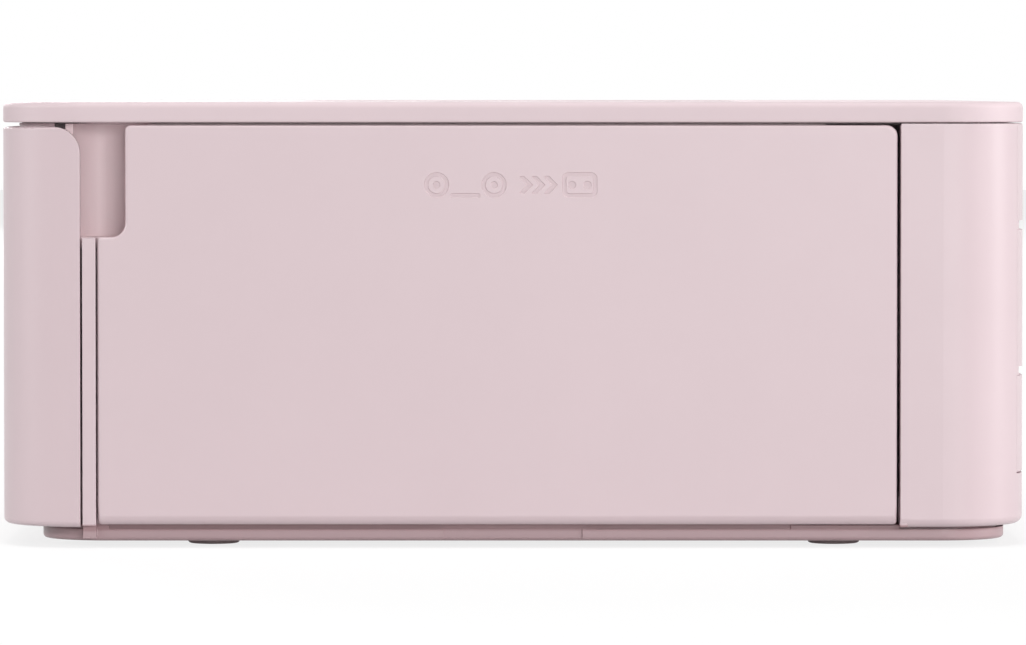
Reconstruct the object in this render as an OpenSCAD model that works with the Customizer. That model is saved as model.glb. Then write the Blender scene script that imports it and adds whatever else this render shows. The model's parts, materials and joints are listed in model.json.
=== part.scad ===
// Compact dye-sublimation photo printer, right side with the ink door shut.
// X runs across the printer (+X is the ink door's side), Y from front to rear, Z up.
// The origin is on the table under the middle of the printer.

/* [Overall size] */
// Width, left to right
body_w = 182.2; // [178:0.2:190]
// Depth, front to rear
body_d = 133; // [130:0.5:140]
// Height with the feet
body_h = 57.6; // [57.4:0.1:60]
// Corner radius of the plan
corner_r = 11; // [9:0.5:13]
// Wall of the moulded covers
wall = 2.2; // [1.8:0.1:2.4]

/* [Seams] */
// Gap under the top cover
lid_gap = 0.15; // [0.1:0.05:0.3]
// Gap at the ink door's front and top edges
door_gap = 0.25; // [0.2:0.05:0.35]
// Gap at the ink door's hinged edge
hinge_gap = 0.58; // [0.56:0.02:0.7]
// Clearance between pieces that are laid together
seat_gap = 0.1; // [0.05:0.01:0.15]
// Radial clearance of a running fit
run_fit = 0.05; // [0.03:0.01:0.08]

/* [Top cover] */
// Height of the cover's rim
lid_h = 2.65; // [2.5:0.05:3]
// Thickness of its plate
lid_plate = 2.2; // [1.8:0.1:2.4]
// Rounding of its upper edge
lid_round = 1.2; // [0.8:0.1:1.6]
// Window width
window_w = 86; // [80:1:88]
// Window depth
window_d = 62; // [56:1:64]
// Window sheet thickness
window_t = 1.2; // [1:0.1:1.4]
// Ledge that carries the window sheet
window_ledge = 4; // [3:0.5:5]
// Window centre, across
window_x = -6; // [-8:1:-4]
// Window centre, front to rear
window_y = 2; // [0:1:4]

/* [Buttons] */
// Diameter of the round centre button
ok_d = 12; // [10:0.5:13]
// Diameter of the small buttons
key_d = 8; // [7:0.5:9]
// Diameter of the print button
print_d = 14; // [12:0.5:15]
// Distance of the arrow buttons from the centre button
arrow_reach = 13; // [12.5:0.5:14]
// Centre button, across
pad_x = 61; // [60:1:62]
// Centre button, front to rear
pad_y = -6; // [-8:1:-4]
// Column of the left buttons
left_keys_x = -70; // [-72:1:-68]
// Pitch of the left buttons
left_keys_pitch = 17; // [15:1:19]
// Travel of a button
key_travel = 0.3; // [0.2:0.05:0.35]
// Clearance round a button
key_gap = 0.3; // [0.2:0.05:0.4]

/* [Side shell and rear panel] */
// Height of the shell's lower edge
shell_z = 2.7; // [2.5:0.1:3]
// Rounding of the shell's lower edge
shell_round = 1.1; // [1:0.1:1.8]
// Depth of the recess that takes the rear panel's skin
panel_skin = 0.6; // [0.5:0.05:0.8]
// Height of the rear panel's lower edge
panel_z = 9.4; // [9:0.2:10]
// Half width of the rear panel's skin
panel_half = 84.6; // [83.5:0.1:85]
// Upper groove across the rear panel
groove_high_z = 41.6; // [40:0.2:44]
// Lower groove across the rear panel
groove_low_z = 22.6; // [21:0.2:23]
// Width of a groove
groove_w = 1.2; // [0.8:0.1:1.6]
// Paper slot, width
slot_w = 108; // [104:1:112]
// Paper slot, height
slot_h = 5.6; // [5.2:0.1:6]
// Paper slot, middle height
slot_z = 27.4; // [27:0.2:28]

/* [Front bezel] */
// Length of the bezel's side columns
column_l = 10.64; // [10:0.1:11]
// Upper edge of the columns below the cover
column_drop = 0.6; // [0.5:0.05:0.8]
// Rounding of the column's upper rear corner
column_round = 3.4; // [2.5:0.1:4]
// Rounding of the bezel's lower edge
bezel_round = 0.8; // [0.5:0.1:1]
// Width of the paper door's opening
paper_open_w = 119; // [115:1:122]
// Upper edge of the paper door's opening
paper_open_z = 31.4; // [30:0.2:34]
// Middle of the paper path, across
paper_x = 11.5; // [10:0.5:13]

/* [Paper door] */
// Height of the paper door's hinge
flap_axis_z = 7; // [6.8:0.1:7.4]
// Hinge distance behind its outer face
flap_axis_in = 3; // [2.8:0.1:3.2]
// Gap round the paper door
flap_gap = 0.4; // [0.3:0.05:0.5]
// Hinge pin diameter
flap_pin_d = 2.4; // [2:0.1:2.8]

/* [Ink door] */
// Front edge of the ink door behind the printer's front
door_front_in = 12.9; // [12.6:0.1:13.4]
// Rear edge of the ink door ahead of the printer's rear
door_rear_in = 17.02; // [16.6:0.02:17.5]
// Lower edge of the ink door
door_z = 3; // [2.9:0.1:3.2]
// Rounding of its lower edge
door_round = 1.25; // [1:0.05:1.6]
// Hinge distance behind the outer face
hinge_in = 2.6; // [2.5:0.1:2.7]
// Hinge distance ahead of the rear edge
hinge_ahead = 7; // [6.8:0.1:8]
// Hinge pin diameter
hinge_pin_d = 1.5; // [1.3:0.1:1.6]
// Knuckle outer diameter
knuckle_d = 2.8; // [2.7:0.1:2.9]
// Height of a knuckle
knuckle_h = 2.5; // [2:0.1:3]
// Finger recess, length along the side
recess_l = 5.6; // [5.2:0.1:6]
// Finger recess, lower edge
recess_z = 40.15; // [39:0.1:42]
// Finger recess, depth into the side
recess_in = 6.4; // [6:0.1:8]
// Radius of the door's notch
notch_r = 1.85; // [1.5:0.05:2.5]

/* [Base and feet] */
// Lower face of the base
base_z = 0.8; // [0.6:0.05:0.9]
// Thickness of the base floor
base_t = 1.5; // [1.3:0.1:1.6]
// Front edge of the base behind the printer's front
base_front_in = 5.1; // [5:0.1:5.6]
// Rear edge of the base ahead of the printer's rear
base_rear_in = 2.4; // [2.2:0.1:2.6]
// Side edge of the base inside the printer's side
base_side_in = 2.45; // [2.4:0.05:3]
// Foot diameter
foot_d = 6.8; // [6:0.2:8]
// Feet inside the printer's sides
foot_side_in = 11.1; // [10:0.1:13]
// Front feet behind the printer's front
foot_front_in = 27.4; // [25:0.1:30]
// Rear feet ahead of the printer's rear
foot_rear_in = 24.6; // [22:0.1:27]

/* [Ink cassette] */
// Distance between the two spools
spool_pitch = 54; // [53:0.5:55]
// Spool height
spool_z = 38; // [37.8:0.1:38.4]
// Spool middle, front to rear
spool_mid_y = -2; // [-2.5:0.5:-1.5]
// Outer diameter of a spool tube
tube_d = 25; // [24:0.2:25]
// Wall of a spool tube
tube_t = 1.2; // [1:0.1:1.4]
// Film on the supply spool, diameter
supply_d = 20; // [16:0.5:21]
// Film on the take-up spool, diameter
takeup_d = 15; // [13:0.5:20]

/* [Print mechanism] */
// Outer face of the left side plate
plate_left_x = -50; // [-51:0.5:-49.5]
// Inner face of the right side plate
plate_right_x = 72; // [71.5:0.5:73]
// Steel side plate thickness
plate_t = 1; // [0.8:0.1:1.2]
// Platen roller diameter
platen_d = 10; // [9.6:0.1:10]
// Platen height
platen_z = 19; // [18.8:0.1:19.2]
// Feed roller diameter
feed_d = 7; // [6.6:0.1:7]
// Feed roller, front to rear
feed_y = 12; // [11.5:0.5:12.5]
// Feed roller height
feed_z = 20; // [19.8:0.1:20.2]
// Pinch roller diameter
pinch_d = 6; // [5.4:0.1:6]
// Pickup roller diameter
pickup_d = 12; // [11:0.5:12]
// Head lift between paper changes
head_lift = 2.4; // [1.8:0.1:2.6]
// Gear module
gear_m = 0.6; // [0.56:0.01:0.6]
// Gear face width
gear_w = 2.6; // [2:0.1:2.8]

/* [Hidden] */
$fn = 48;

pink = [0.86, 0.78, 0.80];
pink_deep = [0.82, 0.70, 0.73];
dark = [0.16, 0.15, 0.16];
steel = [0.72, 0.73, 0.75];
white_pom = [0.93, 0.92, 0.88];
board_green = [0.12, 0.36, 0.24];

half_w = body_w / 2;
half_d = body_d / 2;
lid_z = body_h - lid_h;
shell_top = lid_z - lid_gap;
column_top = lid_z - column_drop;
base_top = base_z + base_t;
inner_x = half_w - wall;
foot_x = half_w - foot_side_in;
foot_y0 = -half_d + foot_front_in;
foot_y1 = half_d - foot_rear_in;
door_y0 = -half_d + door_front_in;
door_y1 = half_d - door_rear_in;
// Clearance between the ink door's back and the ledges round its opening
ledge_gap = 0.4;

// Ink door's hinge axis
hinge_x = half_w - hinge_in;
hinge_y = door_y1 - hinge_ahead;
door_top = lid_z - door_gap - 0.1;
shell_y = door_y1 + hinge_gap;
recess_y1 = column_l - half_d + 0.26 + recess_l;

// Paper door's hinge axis
flap_y = -half_d + flap_axis_in;

supply_y = spool_mid_y - spool_pitch / 2;
takeup_y = spool_mid_y + spool_pitch / 2;
tube_r = tube_d / 2;
cassette_x0 = plate_left_x + plate_t + 5;
cassette_x1 = plate_right_x + plate_t + 2;
platen_y = spool_mid_y;
paper_z = platen_z + platen_d / 2;
// Half the width of the paper's path
paper_half = 51;

// Shafts of the lower drive, front to rear and height
cam_y = -13;
cam_z = 12.2;
pickup_teeth = 13;
cam_teeth = 30;
feed_teeth = 30;
small_teeth = 14;
big_teeth = 40;
pinion_teeth = 12;
takeup_teeth = 36;
mesh_slack = 0.1;

// Places the next gear's shaft at a pitch distance and an angle from the last one
function pitch_r(n) = gear_m * n / 2;
function next_shaft(at, n_a, n_b, angle) =
    at + (pitch_r(n_a) + pitch_r(n_b) + mesh_slack) * [cos(angle), sin(angle)];
// Turns a gear so that its gap meets the other gear's tooth
function mesh_phase(phase_a, n_a, angle, n_b) =
    angle + 180 - (0.5 - (angle - phase_a) * n_a / 360) * 360 / n_b;

cam_at = [cam_y, cam_z];
pickup_angle = 147.5;
pickup_at = next_shaft(cam_at, cam_teeth, pickup_teeth, pickup_angle);
feed_at = [feed_y, feed_z];
reduction_angle = -18;
reduction_at = next_shaft(feed_at, feed_teeth, small_teeth, reduction_angle);
motor_angle = 30;
feed_motor_at = next_shaft(reduction_at, big_teeth, pinion_teeth, motor_angle);
clutch_angle = 158;
clutch_at = next_shaft(feed_at, feed_teeth, small_teeth, clutch_angle);
takeup_at = [takeup_y, spool_z];
ribbon_angle = 180;
ribbon_motor_at = next_shaft(takeup_at, takeup_teeth, pinion_teeth, ribbon_angle);

// Gear planes outside the left side plate
plane_a = plate_left_x - 3.4;
plane_b = plane_a - 4;
plane_c = plane_b - 4;
bracket_x = plane_c - 1.8;

// Draws a profile (front to rear, up) and carries it across
module along_x(x0, x1) {
    translate([x0, 0, 0]) rotate([90, 0, 90]) linear_extrude(x1 - x0) children();
}

// Draws a profile (across, up) and carries it from front to rear
module along_y(y0, y1) {
    translate([0, y1, 0]) rotate([90, 0, 0]) linear_extrude(y1 - y0) children();
}

module rod_x(x0, x1, at, r) {
    translate([x0, at[0], at[1]]) rotate([0, 90, 0]) cylinder(h = x1 - x0, r = r);
}

module block(x, y, z) {
    translate([x[0], y[0], z[0]]) cube([x[1] - x[0], y[1] - y[0], z[1] - z[0]]);
}

// A rectangle with true round corners
module round_rect(w, d, r) {
    square([w, d - 2 * r], center = true);
    square([w - 2 * r, d], center = true);
    for (sx = [-1, 1], sy = [-1, 1])
        translate([sx * (w / 2 - r), sy * (d / 2 - r)]) circle(r);
}

// Two circles joined by a straight band
module stadium(y0, y1, z, r) {
    translate([y0, z]) circle(r);
    translate([y1, z]) circle(r);
    translate([y0, z - r]) square([y1 - y0, 2 * r]);
}

module plan_slab(inset, z0, z1) {
    translate([0, 0, z0]) linear_extrude(z1 - z0)
        round_rect(body_w - 2 * inset, body_d - 2 * inset, corner_r - inset);
}

// Carries a wall profile round a rounded rectangle: its x counts from the corner centres
module carry_round(w, d, r) {
    cx = w / 2 - r;
    cy = d / 2 - r;
    for (i = [0:3]) {
        sx = (i == 0 || i == 3) ? 1 : -1;
        sy = (i < 2) ? 1 : -1;
        translate([sx * cx, sy * cy, 0]) rotate([0, 0, 90 * i]) rotate_extrude(angle = 90) children();
    }
    for (side = [0, 1]) rotate([0, 0, 180 * side]) {
        translate([cx, 0, 0]) rotate([90, 0, 0]) linear_extrude(2 * cy, center = true) children();
        rotate([0, 0, 90]) translate([cy, 0, 0]) rotate([90, 0, 0])
            linear_extrude(2 * cx, center = true) children();
    }
}

// Upright wall profile, outer face at the corner radius, with its outer edges rounded
module wall_profile(r, t, z0, z1, low_round, top_round) {
    difference() {
        translate([r - t, z0]) square([t, z1 - z0]);
        if (low_round > 0) edge_cut(r, z0, low_round, 1);
        if (top_round > 0) edge_cut(r, z1, top_round, -1);
    }
}

// What a round takes off an outer edge: up is 1 for a lower edge and -1 for an upper one
module edge_cut(x, z, r, up) {
    difference() {
        translate([x - r, up > 0 ? z - 1 : z - r]) square([r + 1, r + 1]);
        translate([x - r, z + up * r]) circle(r);
    }
}

module tooth_ring(n, phase) {
    root_r = pitch_r(n) - 1.15 * gear_m;
    tip_r = pitch_r(n) + 0.85 * gear_m;
    half_share = [-0.31, -0.12, 0.12, 0.31];
    polygon([for (i = [0:n - 1]) for (k = [0:3])
        let (a = phase + (i + half_share[k]) * 360 / n, r = (k == 0 || k == 3) ? root_r : tip_r)
        r * [cos(a), sin(a)]]);
}

// A spur gear with its web and hub, or a solid pinion where it is small
module gear_x(x, at, n, phase, bore_r) {
    web_r = pitch_r(n) - 3 * gear_m;
    hub_r = bore_r + 1.6;
    difference() {
        translate([0, at[0], at[1]]) along_x(x, x + gear_w) tooth_ring(n, phase);
        if (web_r > hub_r + 2) translate([0, at[0], at[1]]) along_x(x + 1.5, x + gear_w + 1) difference() {
            circle(web_r);
            circle(hub_r);
        }
        if (bore_r > 0) rod_x(x - 1, x + gear_w + 1, at, bore_r);
    }
}

// Base, feet and screws
boss_rear_y = half_d - 8.5;
boss_at = [[-half_w + 13.1, -30], [-58, boss_rear_y], [half_w - 16.1, -half_d + 9.5], [60, boss_rear_y]];
boss_h = 7;
seat_z = base_top + boss_h;
tongue_x = [-56, 70];

module base_casing() {
    x1 = half_w - base_side_in;
    y0 = -half_d + base_front_in;
    y1 = half_d - base_rear_in;
    r = corner_r - base_side_in;
    edge = 0.5;
    post_x = [inner_x, half_w];
    post_y0 = -half_d + column_l + 0.3;
    color(pink_deep) difference() {
        union() {
            translate([0, (y0 + y1) / 2, 0]) {
                carry_round(2 * x1, y1 - y0, r) wall_profile(r, 3, base_z, base_top, edge, 0);
                translate([0, 0, base_z]) linear_extrude(base_t)
                    round_rect(2 * x1 - 5, y1 - y0 - 5, r - 2.5);
            }
            // Upright post beside the ink door
            block(post_x, [post_y0, door_y0 - door_gap], [shell_z + 0.2, recess_z - seat_gap]);
            // Its inner part is a ledge behind the door's front edge
            block([x1 - 2, post_x[0] + 1.2], [post_y0, door_y0 - door_gap], [base_z + 0.4, recess_z - 4]);
            block([x1 - 2, inner_x - ledge_gap], [post_y0 + 0.4, door_y0 + 1.2],
                [base_top - 0.1, recess_z - 1.8]);
            // Sill behind the door's lower edge
            block([x1 - 2.45, x1 - 0.65], [door_y0 + 1, hinge_y - 5.5], [base_top - 0.1, door_z + 2]);
            for (at = boss_at) translate([at[0], at[1], base_top]) cylinder(h = boss_h, r = 3);
            // Pads that carry the steel deck
            for (x = [-40, 10, 60], y = [5, deck_y1 - 2]) translate([x, y, base_top])
                cylinder(h = deck_z - base_top, r = 4);
            // Locating rib inside the left and rear walls
            block([-x1 + 0.2, -x1 + 1.6], [-half_d + 21.5, half_d - 16.5], [base_top, base_top + 3]);
            block([-70, 70], [y1 - 1.6, y1 - 0.2], [base_top, base_top + 3]);
            // Rib that the front bezel's tongue lies on
            block(tongue_x, [y0 + 0.2, y0 + 1.4], [base_top - 0.1, shell_z]);
        }
        for (at = boss_at) {
            translate([at[0], at[1], base_z - 1]) cylinder(h = boss_h + 4, r = 1.25);
            translate([at[0], at[1], base_z - 1]) cylinder(h = 1.9, r = 3.1);
        }
        for (sx = [-1, 1], y = [foot_y0, foot_y1])
            translate([sx * foot_x, y, base_z - 1]) cylinder(h = 1.5, r = foot_d / 2 + seat_gap);
        // Grip recess in each long edge
        for (sx = [-1, 1]) block([sx * x1 - 0.4, sx * x1 + 0.4], [-9, 9], [base_z + 0.3, base_top + 1]);
        // Cooling louvres
        for (i = [0:5]) block([-76, -62], [10 + 5 * i, 12 + 5 * i], [base_z - 1, base_top + 1]);
    }
}

module rubber_feet() {
    color(dark) for (sx = [-1, 1], y = [foot_y0, foot_y1]) translate([sx * foot_x, y, 0]) rotate_extrude()
        difference() {
            square([foot_d / 2, base_z + 0.5]);
            edge_cut(foot_d / 2, 0, 0.4, 1);
        }
}

module base_screws() {
    color(steel) for (at = boss_at) translate([at[0], at[1], base_z]) difference() {
        union() {
            translate([0, 0, -0.3]) cylinder(h = 1.2, r = 2.6);
            cylinder(h = boss_h - 1, r = 1.2);
        }
        translate([0, 0, -1]) cylinder(h = 1.3, r = 1.1, $fn = 6);
    }
}

// Covers
lug_z = lid_z - 10.95;

module main_shell() {
    lip = 0.15;
    color(pink) difference() {
        union() {
            difference() {
                carry_round(body_w, body_d, corner_r)
                    wall_profile(corner_r, wall, shell_z, shell_top, shell_round, 0);
                // Open front, and the ink door's side
                block([-half_w - 1, half_w + 1], [-half_d - 1, -half_d + corner_r + 0.2], [0, body_h]);
                block([0, half_w + 1], [-half_d - 1, shell_y], [0, body_h]);
            }
            // Screw tabs on the base's bosses
            block([-inner_x - 0.1, boss_at[0][0]], [boss_at[0][1] - 2, boss_at[0][1] + 2],
                [seat_z + 1, seat_z + 2.8]);
            translate([boss_at[0][0], boss_at[0][1], seat_z]) cylinder(h = 3, r = 2.6);
            for (at = [boss_at[1], boss_at[3]])
                block([at[0] - 3, at[0] + 3], [at[1] - 2.5, half_d - wall + 0.1], [seat_z, seat_z + 2]);
            // Lugs that carry the top cover
            for (y = [-34, 30]) block([-inner_x - 0.1, -inner_x + 1.6], [y, y + 10], [lug_z, lid_z]);
            for (x = [-45, 45]) block([x, x + 10], [half_d - wall - 1.6, half_d - wall + 0.1],
                [plug_z[1] + 0.8, lid_z]);
            // Rib that shows through the hinge gap
            block([inner_x - 2, inner_x], [shell_y - lip, shell_y + 3], [4, 6.6]);
        }
        intersection() {
            carry_round(body_w, body_d, corner_r)
                translate([corner_r - panel_skin - seat_gap / 2, panel_z - seat_gap])
                    square([panel_skin + 2, body_h]);
            block([-panel_half - seat_gap, panel_half + seat_gap], [0, body_d], [0, body_h]);
        }
        block([-plug_half - seat_gap, plug_half + seat_gap], [half_d - 6, half_d + 1],
            [plug_z[0], plug_z[1] + seat_gap]);
        for (i = [0, 1, 3]) translate([boss_at[i][0], boss_at[i][1], 0]) cylinder(h = 20, r = 1.25);
        // Cooling louvres low on the left side
        for (i = [0:7]) block([-half_w - 1, -inner_x + 1], [12 + 4 * i, 14 + 4 * i], [10, 24]);
    }
}

plug_half = 78;
plug_z = [panel_z + 2.6, shell_top - 4];

module rear_panel() {
    vent_x = [-70, -50];
    color(pink) difference() {
        union() {
            intersection() {
                carry_round(body_w, body_d, corner_r)
                    wall_profile(corner_r, panel_skin, panel_z, shell_top, 0.3, 0.2);
                block([-panel_half, panel_half], [0, body_d], [0, body_h]);
            }
            block([-plug_half, plug_half], [half_d - wall - 0.8, half_d - panel_skin + 0.01], plug_z);
        }
        // Two grooves across the back
        for (z = [groove_low_z, groove_high_z]) intersection() {
            carry_round(body_w, body_d, corner_r)
                translate([corner_r - 0.45, z - groove_w / 2]) square([1, groove_w]);
            block([-panel_half - 1, panel_half + 1], [0, body_d], [0, body_h]);
        }
        block([paper_x - slot_w / 2, paper_x + slot_w / 2], [half_d - 5, half_d + 1],
            [slot_z - slot_h / 2, slot_z + slot_h / 2]);
        // Inlet and vents
        translate([jack_x, half_d - 5, jack_z]) rotate([-90, 0, 0]) cylinder(h = 6, r = 3.4);
        for (i = [0:3]) block(vent_x, [half_d - 5, half_d + 1], [33.5 + 3.4 * i, 35.1 + 3.4 * i]
            + [1, 1] * (i > 1 ? 3 : 0));
    }
}

module front_bezel() {
    open_x = [paper_x - paper_open_w / 2, paper_x + paper_open_w / 2];
    open_z = flap_axis_z - flap_axis_in - flap_gap;
    lug = 3;
    color(pink) difference() {
        union() {
            intersection() {
                carry_round(body_w, body_d, corner_r)
                    wall_profile(corner_r, wall, shell_z, column_top, bezel_round, 0.3);
                block([-half_w, half_w], [-half_d, -half_d + column_l], [0, body_h]);
            }
            // Ledge behind the gap under the cover
            intersection() {
                carry_round(body_w, body_d, corner_r) translate([corner_r - wall - 1.5, column_top - 3])
                    square([1.6, lid_z - seat_gap - column_top + 3]);
                block([-half_w, half_w], [-half_d, -half_d + column_l - column_round], [0, body_h]);
            }
            // Lugs that hold the paper door's pins
            for (x = [open_x[0] - lug, open_x[1]])
                block([x, x + lug], [-half_d + wall - 0.2, flap_y + 2.4], [open_z, flap_axis_z + 3]);
            // Tongue that lies on the base, and the screw tab
            block(tongue_x, [-half_d + wall - 0.2, -half_d + base_front_in + 1.4], [shell_z, open_z - 0.1]);
            block([boss_at[2][0] - 2.6, boss_at[2][0] + 2.6], [-half_d + wall - 0.2, boss_at[2][1] + 2.5],
                [seat_z, seat_z + 2]);
            // Lugs that carry the top cover
            for (x = [-half_w + 17.1, half_w - 25.1])
                block([x, x + 8], [-half_d + wall - 0.2, -half_d + wall + 1.6], [lug_z, lid_z]);
            // Shelf over the paper opening
            block([open_x[0] - 2, open_x[1] + 2], [-half_d + wall - 0.2, -half_d + 6],
                [paper_open_z, paper_open_z + 1.6]);
        }
        block(open_x, [-half_d - 1, -half_d + 5], [open_z, paper_open_z]);
        rod_x(open_x[0] - lug + 0.8, open_x[1] + lug - 0.8, [flap_y, flap_axis_z], flap_pin_d / 2 + run_fit);
        // Rounded upper rear corner of each column
        for (sx = [-1, 1]) along_x(sx > 0 ? 60 : -half_w - 1, sx > 0 ? half_w + 1 : -60)
            translate([-half_d + column_l, column_top]) mirror([1, 0]) difference() {
                translate([-1, -column_round]) square([column_round + 1, column_round + 1]);
                translate([column_round, -column_round]) circle(column_round);
            }
        translate([boss_at[2][0], boss_at[2][1], 0]) cylinder(h = 20, r = 1.25);
        // Card slot and data port
        block([card_x - 13, card_x + 13], [-half_d - 1, -half_d + wall + 1], [card_z - 1.6, card_z + 1.6]);
        along_y(-half_d - 1, -half_d + wall + 1) translate([port_x, port_z]) {
            square([6.2, 3.4], center = true);
            for (sx = [-1, 1]) translate([sx * 3.1, 0]) circle(1.7);
        }
    }
}

module paper_door() {
    x0 = paper_x - paper_open_w / 2 + flap_gap;
    x1 = paper_x + paper_open_w / 2 - flap_gap;
    z1 = paper_open_z - flap_gap;
    axis = [flap_y, flap_axis_z];
    color(pink) {
        difference() {
            union() {
                along_x(x0, x1) difference() {
                    union() {
                        translate([-half_d, flap_axis_z]) square([wall, z1 - flap_axis_z]);
                        translate(axis) circle(flap_axis_in);
                    }
                    translate([-half_d - 1, z1 - 0.4]) rotate(-45) square([0.9, 3], center = true);
                }
                // Stiffening ribs inside
                for (x = [x0 + 4, (x0 + x1) / 2, x1 - 5]) along_x(x, x + 1.2)
                    polygon([[-half_d + 1, flap_axis_z], [flap_y + 1, flap_axis_z + 2],
                        [-half_d + 3.4, z1 - 2],
                        [-half_d + 1, z1 - 2]]);
            }
            // Finger scoop in the upper edge
            along_y(-half_d - 1, -half_d + wall + 2) translate([paper_x, z1 + 8.6]) circle(11);
        }
        rod_x(x0 - 2.2, x0 + 1, axis, flap_pin_d / 2);
        rod_x(x1 - 1, x1 + 2.2, axis, flap_pin_d / 2);
    }
}

// Button places: across, front to rear, diameter
function pad_at(dx, dy) = [pad_x + dx, pad_y + dy];
power_at = [left_keys_x, window_y + left_keys_pitch];
edit_at = [left_keys_x, window_y];
menu_at = [left_keys_x, window_y - left_keys_pitch];
zoom_out_at = pad_at(-11, 27);
zoom_in_at = pad_at(11, 27);
back_at = pad_at(-12, -27);
print_at = pad_at(10, -30);
KEYS = [[power_at, key_d], [edit_at, key_d], [menu_at, key_d], [zoom_out_at, key_d], [zoom_in_at, key_d],
    [pad_at(0, arrow_reach), key_d], [pad_at(0, -arrow_reach), key_d], [pad_at(-arrow_reach, 0), key_d],
    [pad_at(arrow_reach, 0), key_d], [pad_at(0, 0), ok_d], [back_at, key_d], [print_at, print_d]];
key_top = body_h - 0.15;
key_flange = 0.7;
board_z = body_h - 6.3;
board_t = 1;
dome_h = 0.5;
key_foot = board_z + board_t + dome_h + key_travel + 0.05;

module button(at, d, dish) {
    under = body_h - lid_plate;
    color([0.88, 0.80, 0.82]) translate([at[0], at[1], 0]) difference() {
        union() {
            translate([0, 0, under - key_flange - 0.1]) rotate_extrude() difference() {
                square([d / 2, key_top - under + key_flange + 0.1]);
                edge_cut(d / 2, key_top - under + key_flange + 0.1, 0.35, -1);
            }
            translate([0, 0, under - key_flange - 0.1]) cylinder(h = key_flange, r = d / 2 + key_gap + 0.5);
            translate([0, 0, key_foot]) cylinder(h = under - key_foot, r = 1.2);
        }
        if (dish) translate([0, 0, key_top + 3 * d - 0.3]) sphere(r = 3 * d, $fn = 96);
    }
}

module button_power() { button(power_at, key_d, true); }
module button_edit() { button(edit_at, key_d, true); }
module button_menu() { button(menu_at, key_d, true); }
module button_zoom_out() { button(zoom_out_at, key_d, true); }
module button_zoom_in() { button(zoom_in_at, key_d, true); }
module button_up() { button(pad_at(0, arrow_reach), key_d, true); }
module button_down() { button(pad_at(0, -arrow_reach), key_d, true); }
module button_left() { button(pad_at(-arrow_reach, 0), key_d, true); }
module button_right() { button(pad_at(arrow_reach, 0), key_d, true); }
module button_ok() { button(pad_at(0, 0), ok_d, true); }
module button_back() { button(back_at, key_d, true); }
module button_print() { button(print_at, print_d, true); }

lid_boss_at = [[-81, -45], [-62, 36], [74, 36], [46, -45], [-61, -24], [46, 36]];

module top_cover() {
    under = body_h - lid_plate;
    color(pink) difference() {
        union() {
            carry_round(body_w, body_d, corner_r) difference() {
                translate([corner_r - 4, lid_z]) square([4, lid_h]);
                edge_cut(corner_r, body_h, lid_round, -1);
            }
            plan_slab(3.5, under, body_h);
            for (at = lid_boss_at) translate([at[0], at[1], board_z + board_t])
                cylinder(h = under - board_z - board_t + 0.5, r = 2.4);
        }
        // Window pocket and the opening under it
        translate([window_x, window_y, body_h - window_t - seat_gap]) linear_extrude(5)
            round_rect(window_w, window_d, 3);
        translate([window_x, window_y, lid_z - 1]) linear_extrude(5)
            round_rect(window_w - 2 * window_ledge, window_d - 2 * window_ledge, 2);
        for (k = KEYS) translate([k[0][0], k[0][1], lid_z - 1]) cylinder(h = 5, r = k[1] / 2 + key_gap);
        for (at = lid_boss_at) translate([at[0], at[1], board_z]) cylinder(h = under - board_z, r = 0.8);
    }
}

module screen_window() {
    gap = 2 * seat_gap;
    color([0.05, 0.05, 0.06]) translate([window_x, window_y, body_h - window_t - seat_gap])
        linear_extrude(window_t)
        round_rect(window_w - gap, window_d - gap, 3 - seat_gap);
}

module lcd_panel() {
    under = body_h - lid_plate;
    w = window_w - 2 * window_ledge - 1.8;
    d = window_d - 2 * window_ledge - 1.8;
    color([0.2, 0.22, 0.25]) translate([window_x, window_y, 0]) {
        translate([0, 0, under - 1.2]) linear_extrude(lid_plate - window_t + 1.2 - 2 * seat_gap)
            square([w, d], center = true);
        translate([0, 0, under - 1.2]) linear_extrude(1.1) square([w + 4, d + 4], center = true);
    }
}

module key_board() {
    link_y = [window_y + window_d / 2 - 1, window_y + window_d / 2 + 7];
    color(board_green) {
        difference() {
            union() {
                block([left_keys_x - 14, left_keys_x + 12], [-half_d + 18.5, link_y[1]],
                    [board_z, board_z + board_t]);
                block([pad_x - 20, pad_x + 17], [-half_d + 18.5, link_y[1]], [board_z, board_z + board_t]);
                block([left_keys_x, pad_x], link_y, [board_z, board_z + board_t]);
            }
            for (at = lid_boss_at) translate([at[0], at[1], board_z - 1]) cylinder(h = 4, r = 0.8);
        }
    }
    color(steel) for (k = KEYS) translate([k[0][0], k[0][1], board_z + board_t])
        cylinder(h = dome_h, r = 2.4);
}

// Ink door and its bay
module door_outline() {
    difference() {
        translate([door_y0, door_z]) square([door_y1 - door_y0, door_top - door_z]);
        // Notch for the finger
        difference() {
            translate([door_y0 - 1, recess_z]) square([recess_y1 - door_y0 + 1, 20]);
            translate([recess_y1 - notch_r, recess_z]) difference() {
                square([notch_r, notch_r]);
                translate([0, notch_r]) circle(notch_r);
            }
        }
        // Rounded upper rear corner
        translate([door_y1 - 1.4, door_top - 1.4]) difference() {
            square([3, 3]);
            circle(1.4);
        }
    }
}

// Latch hook, front to rear
hook_y = [door_y0 + 17.6, door_y0 + 23.6];

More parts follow.
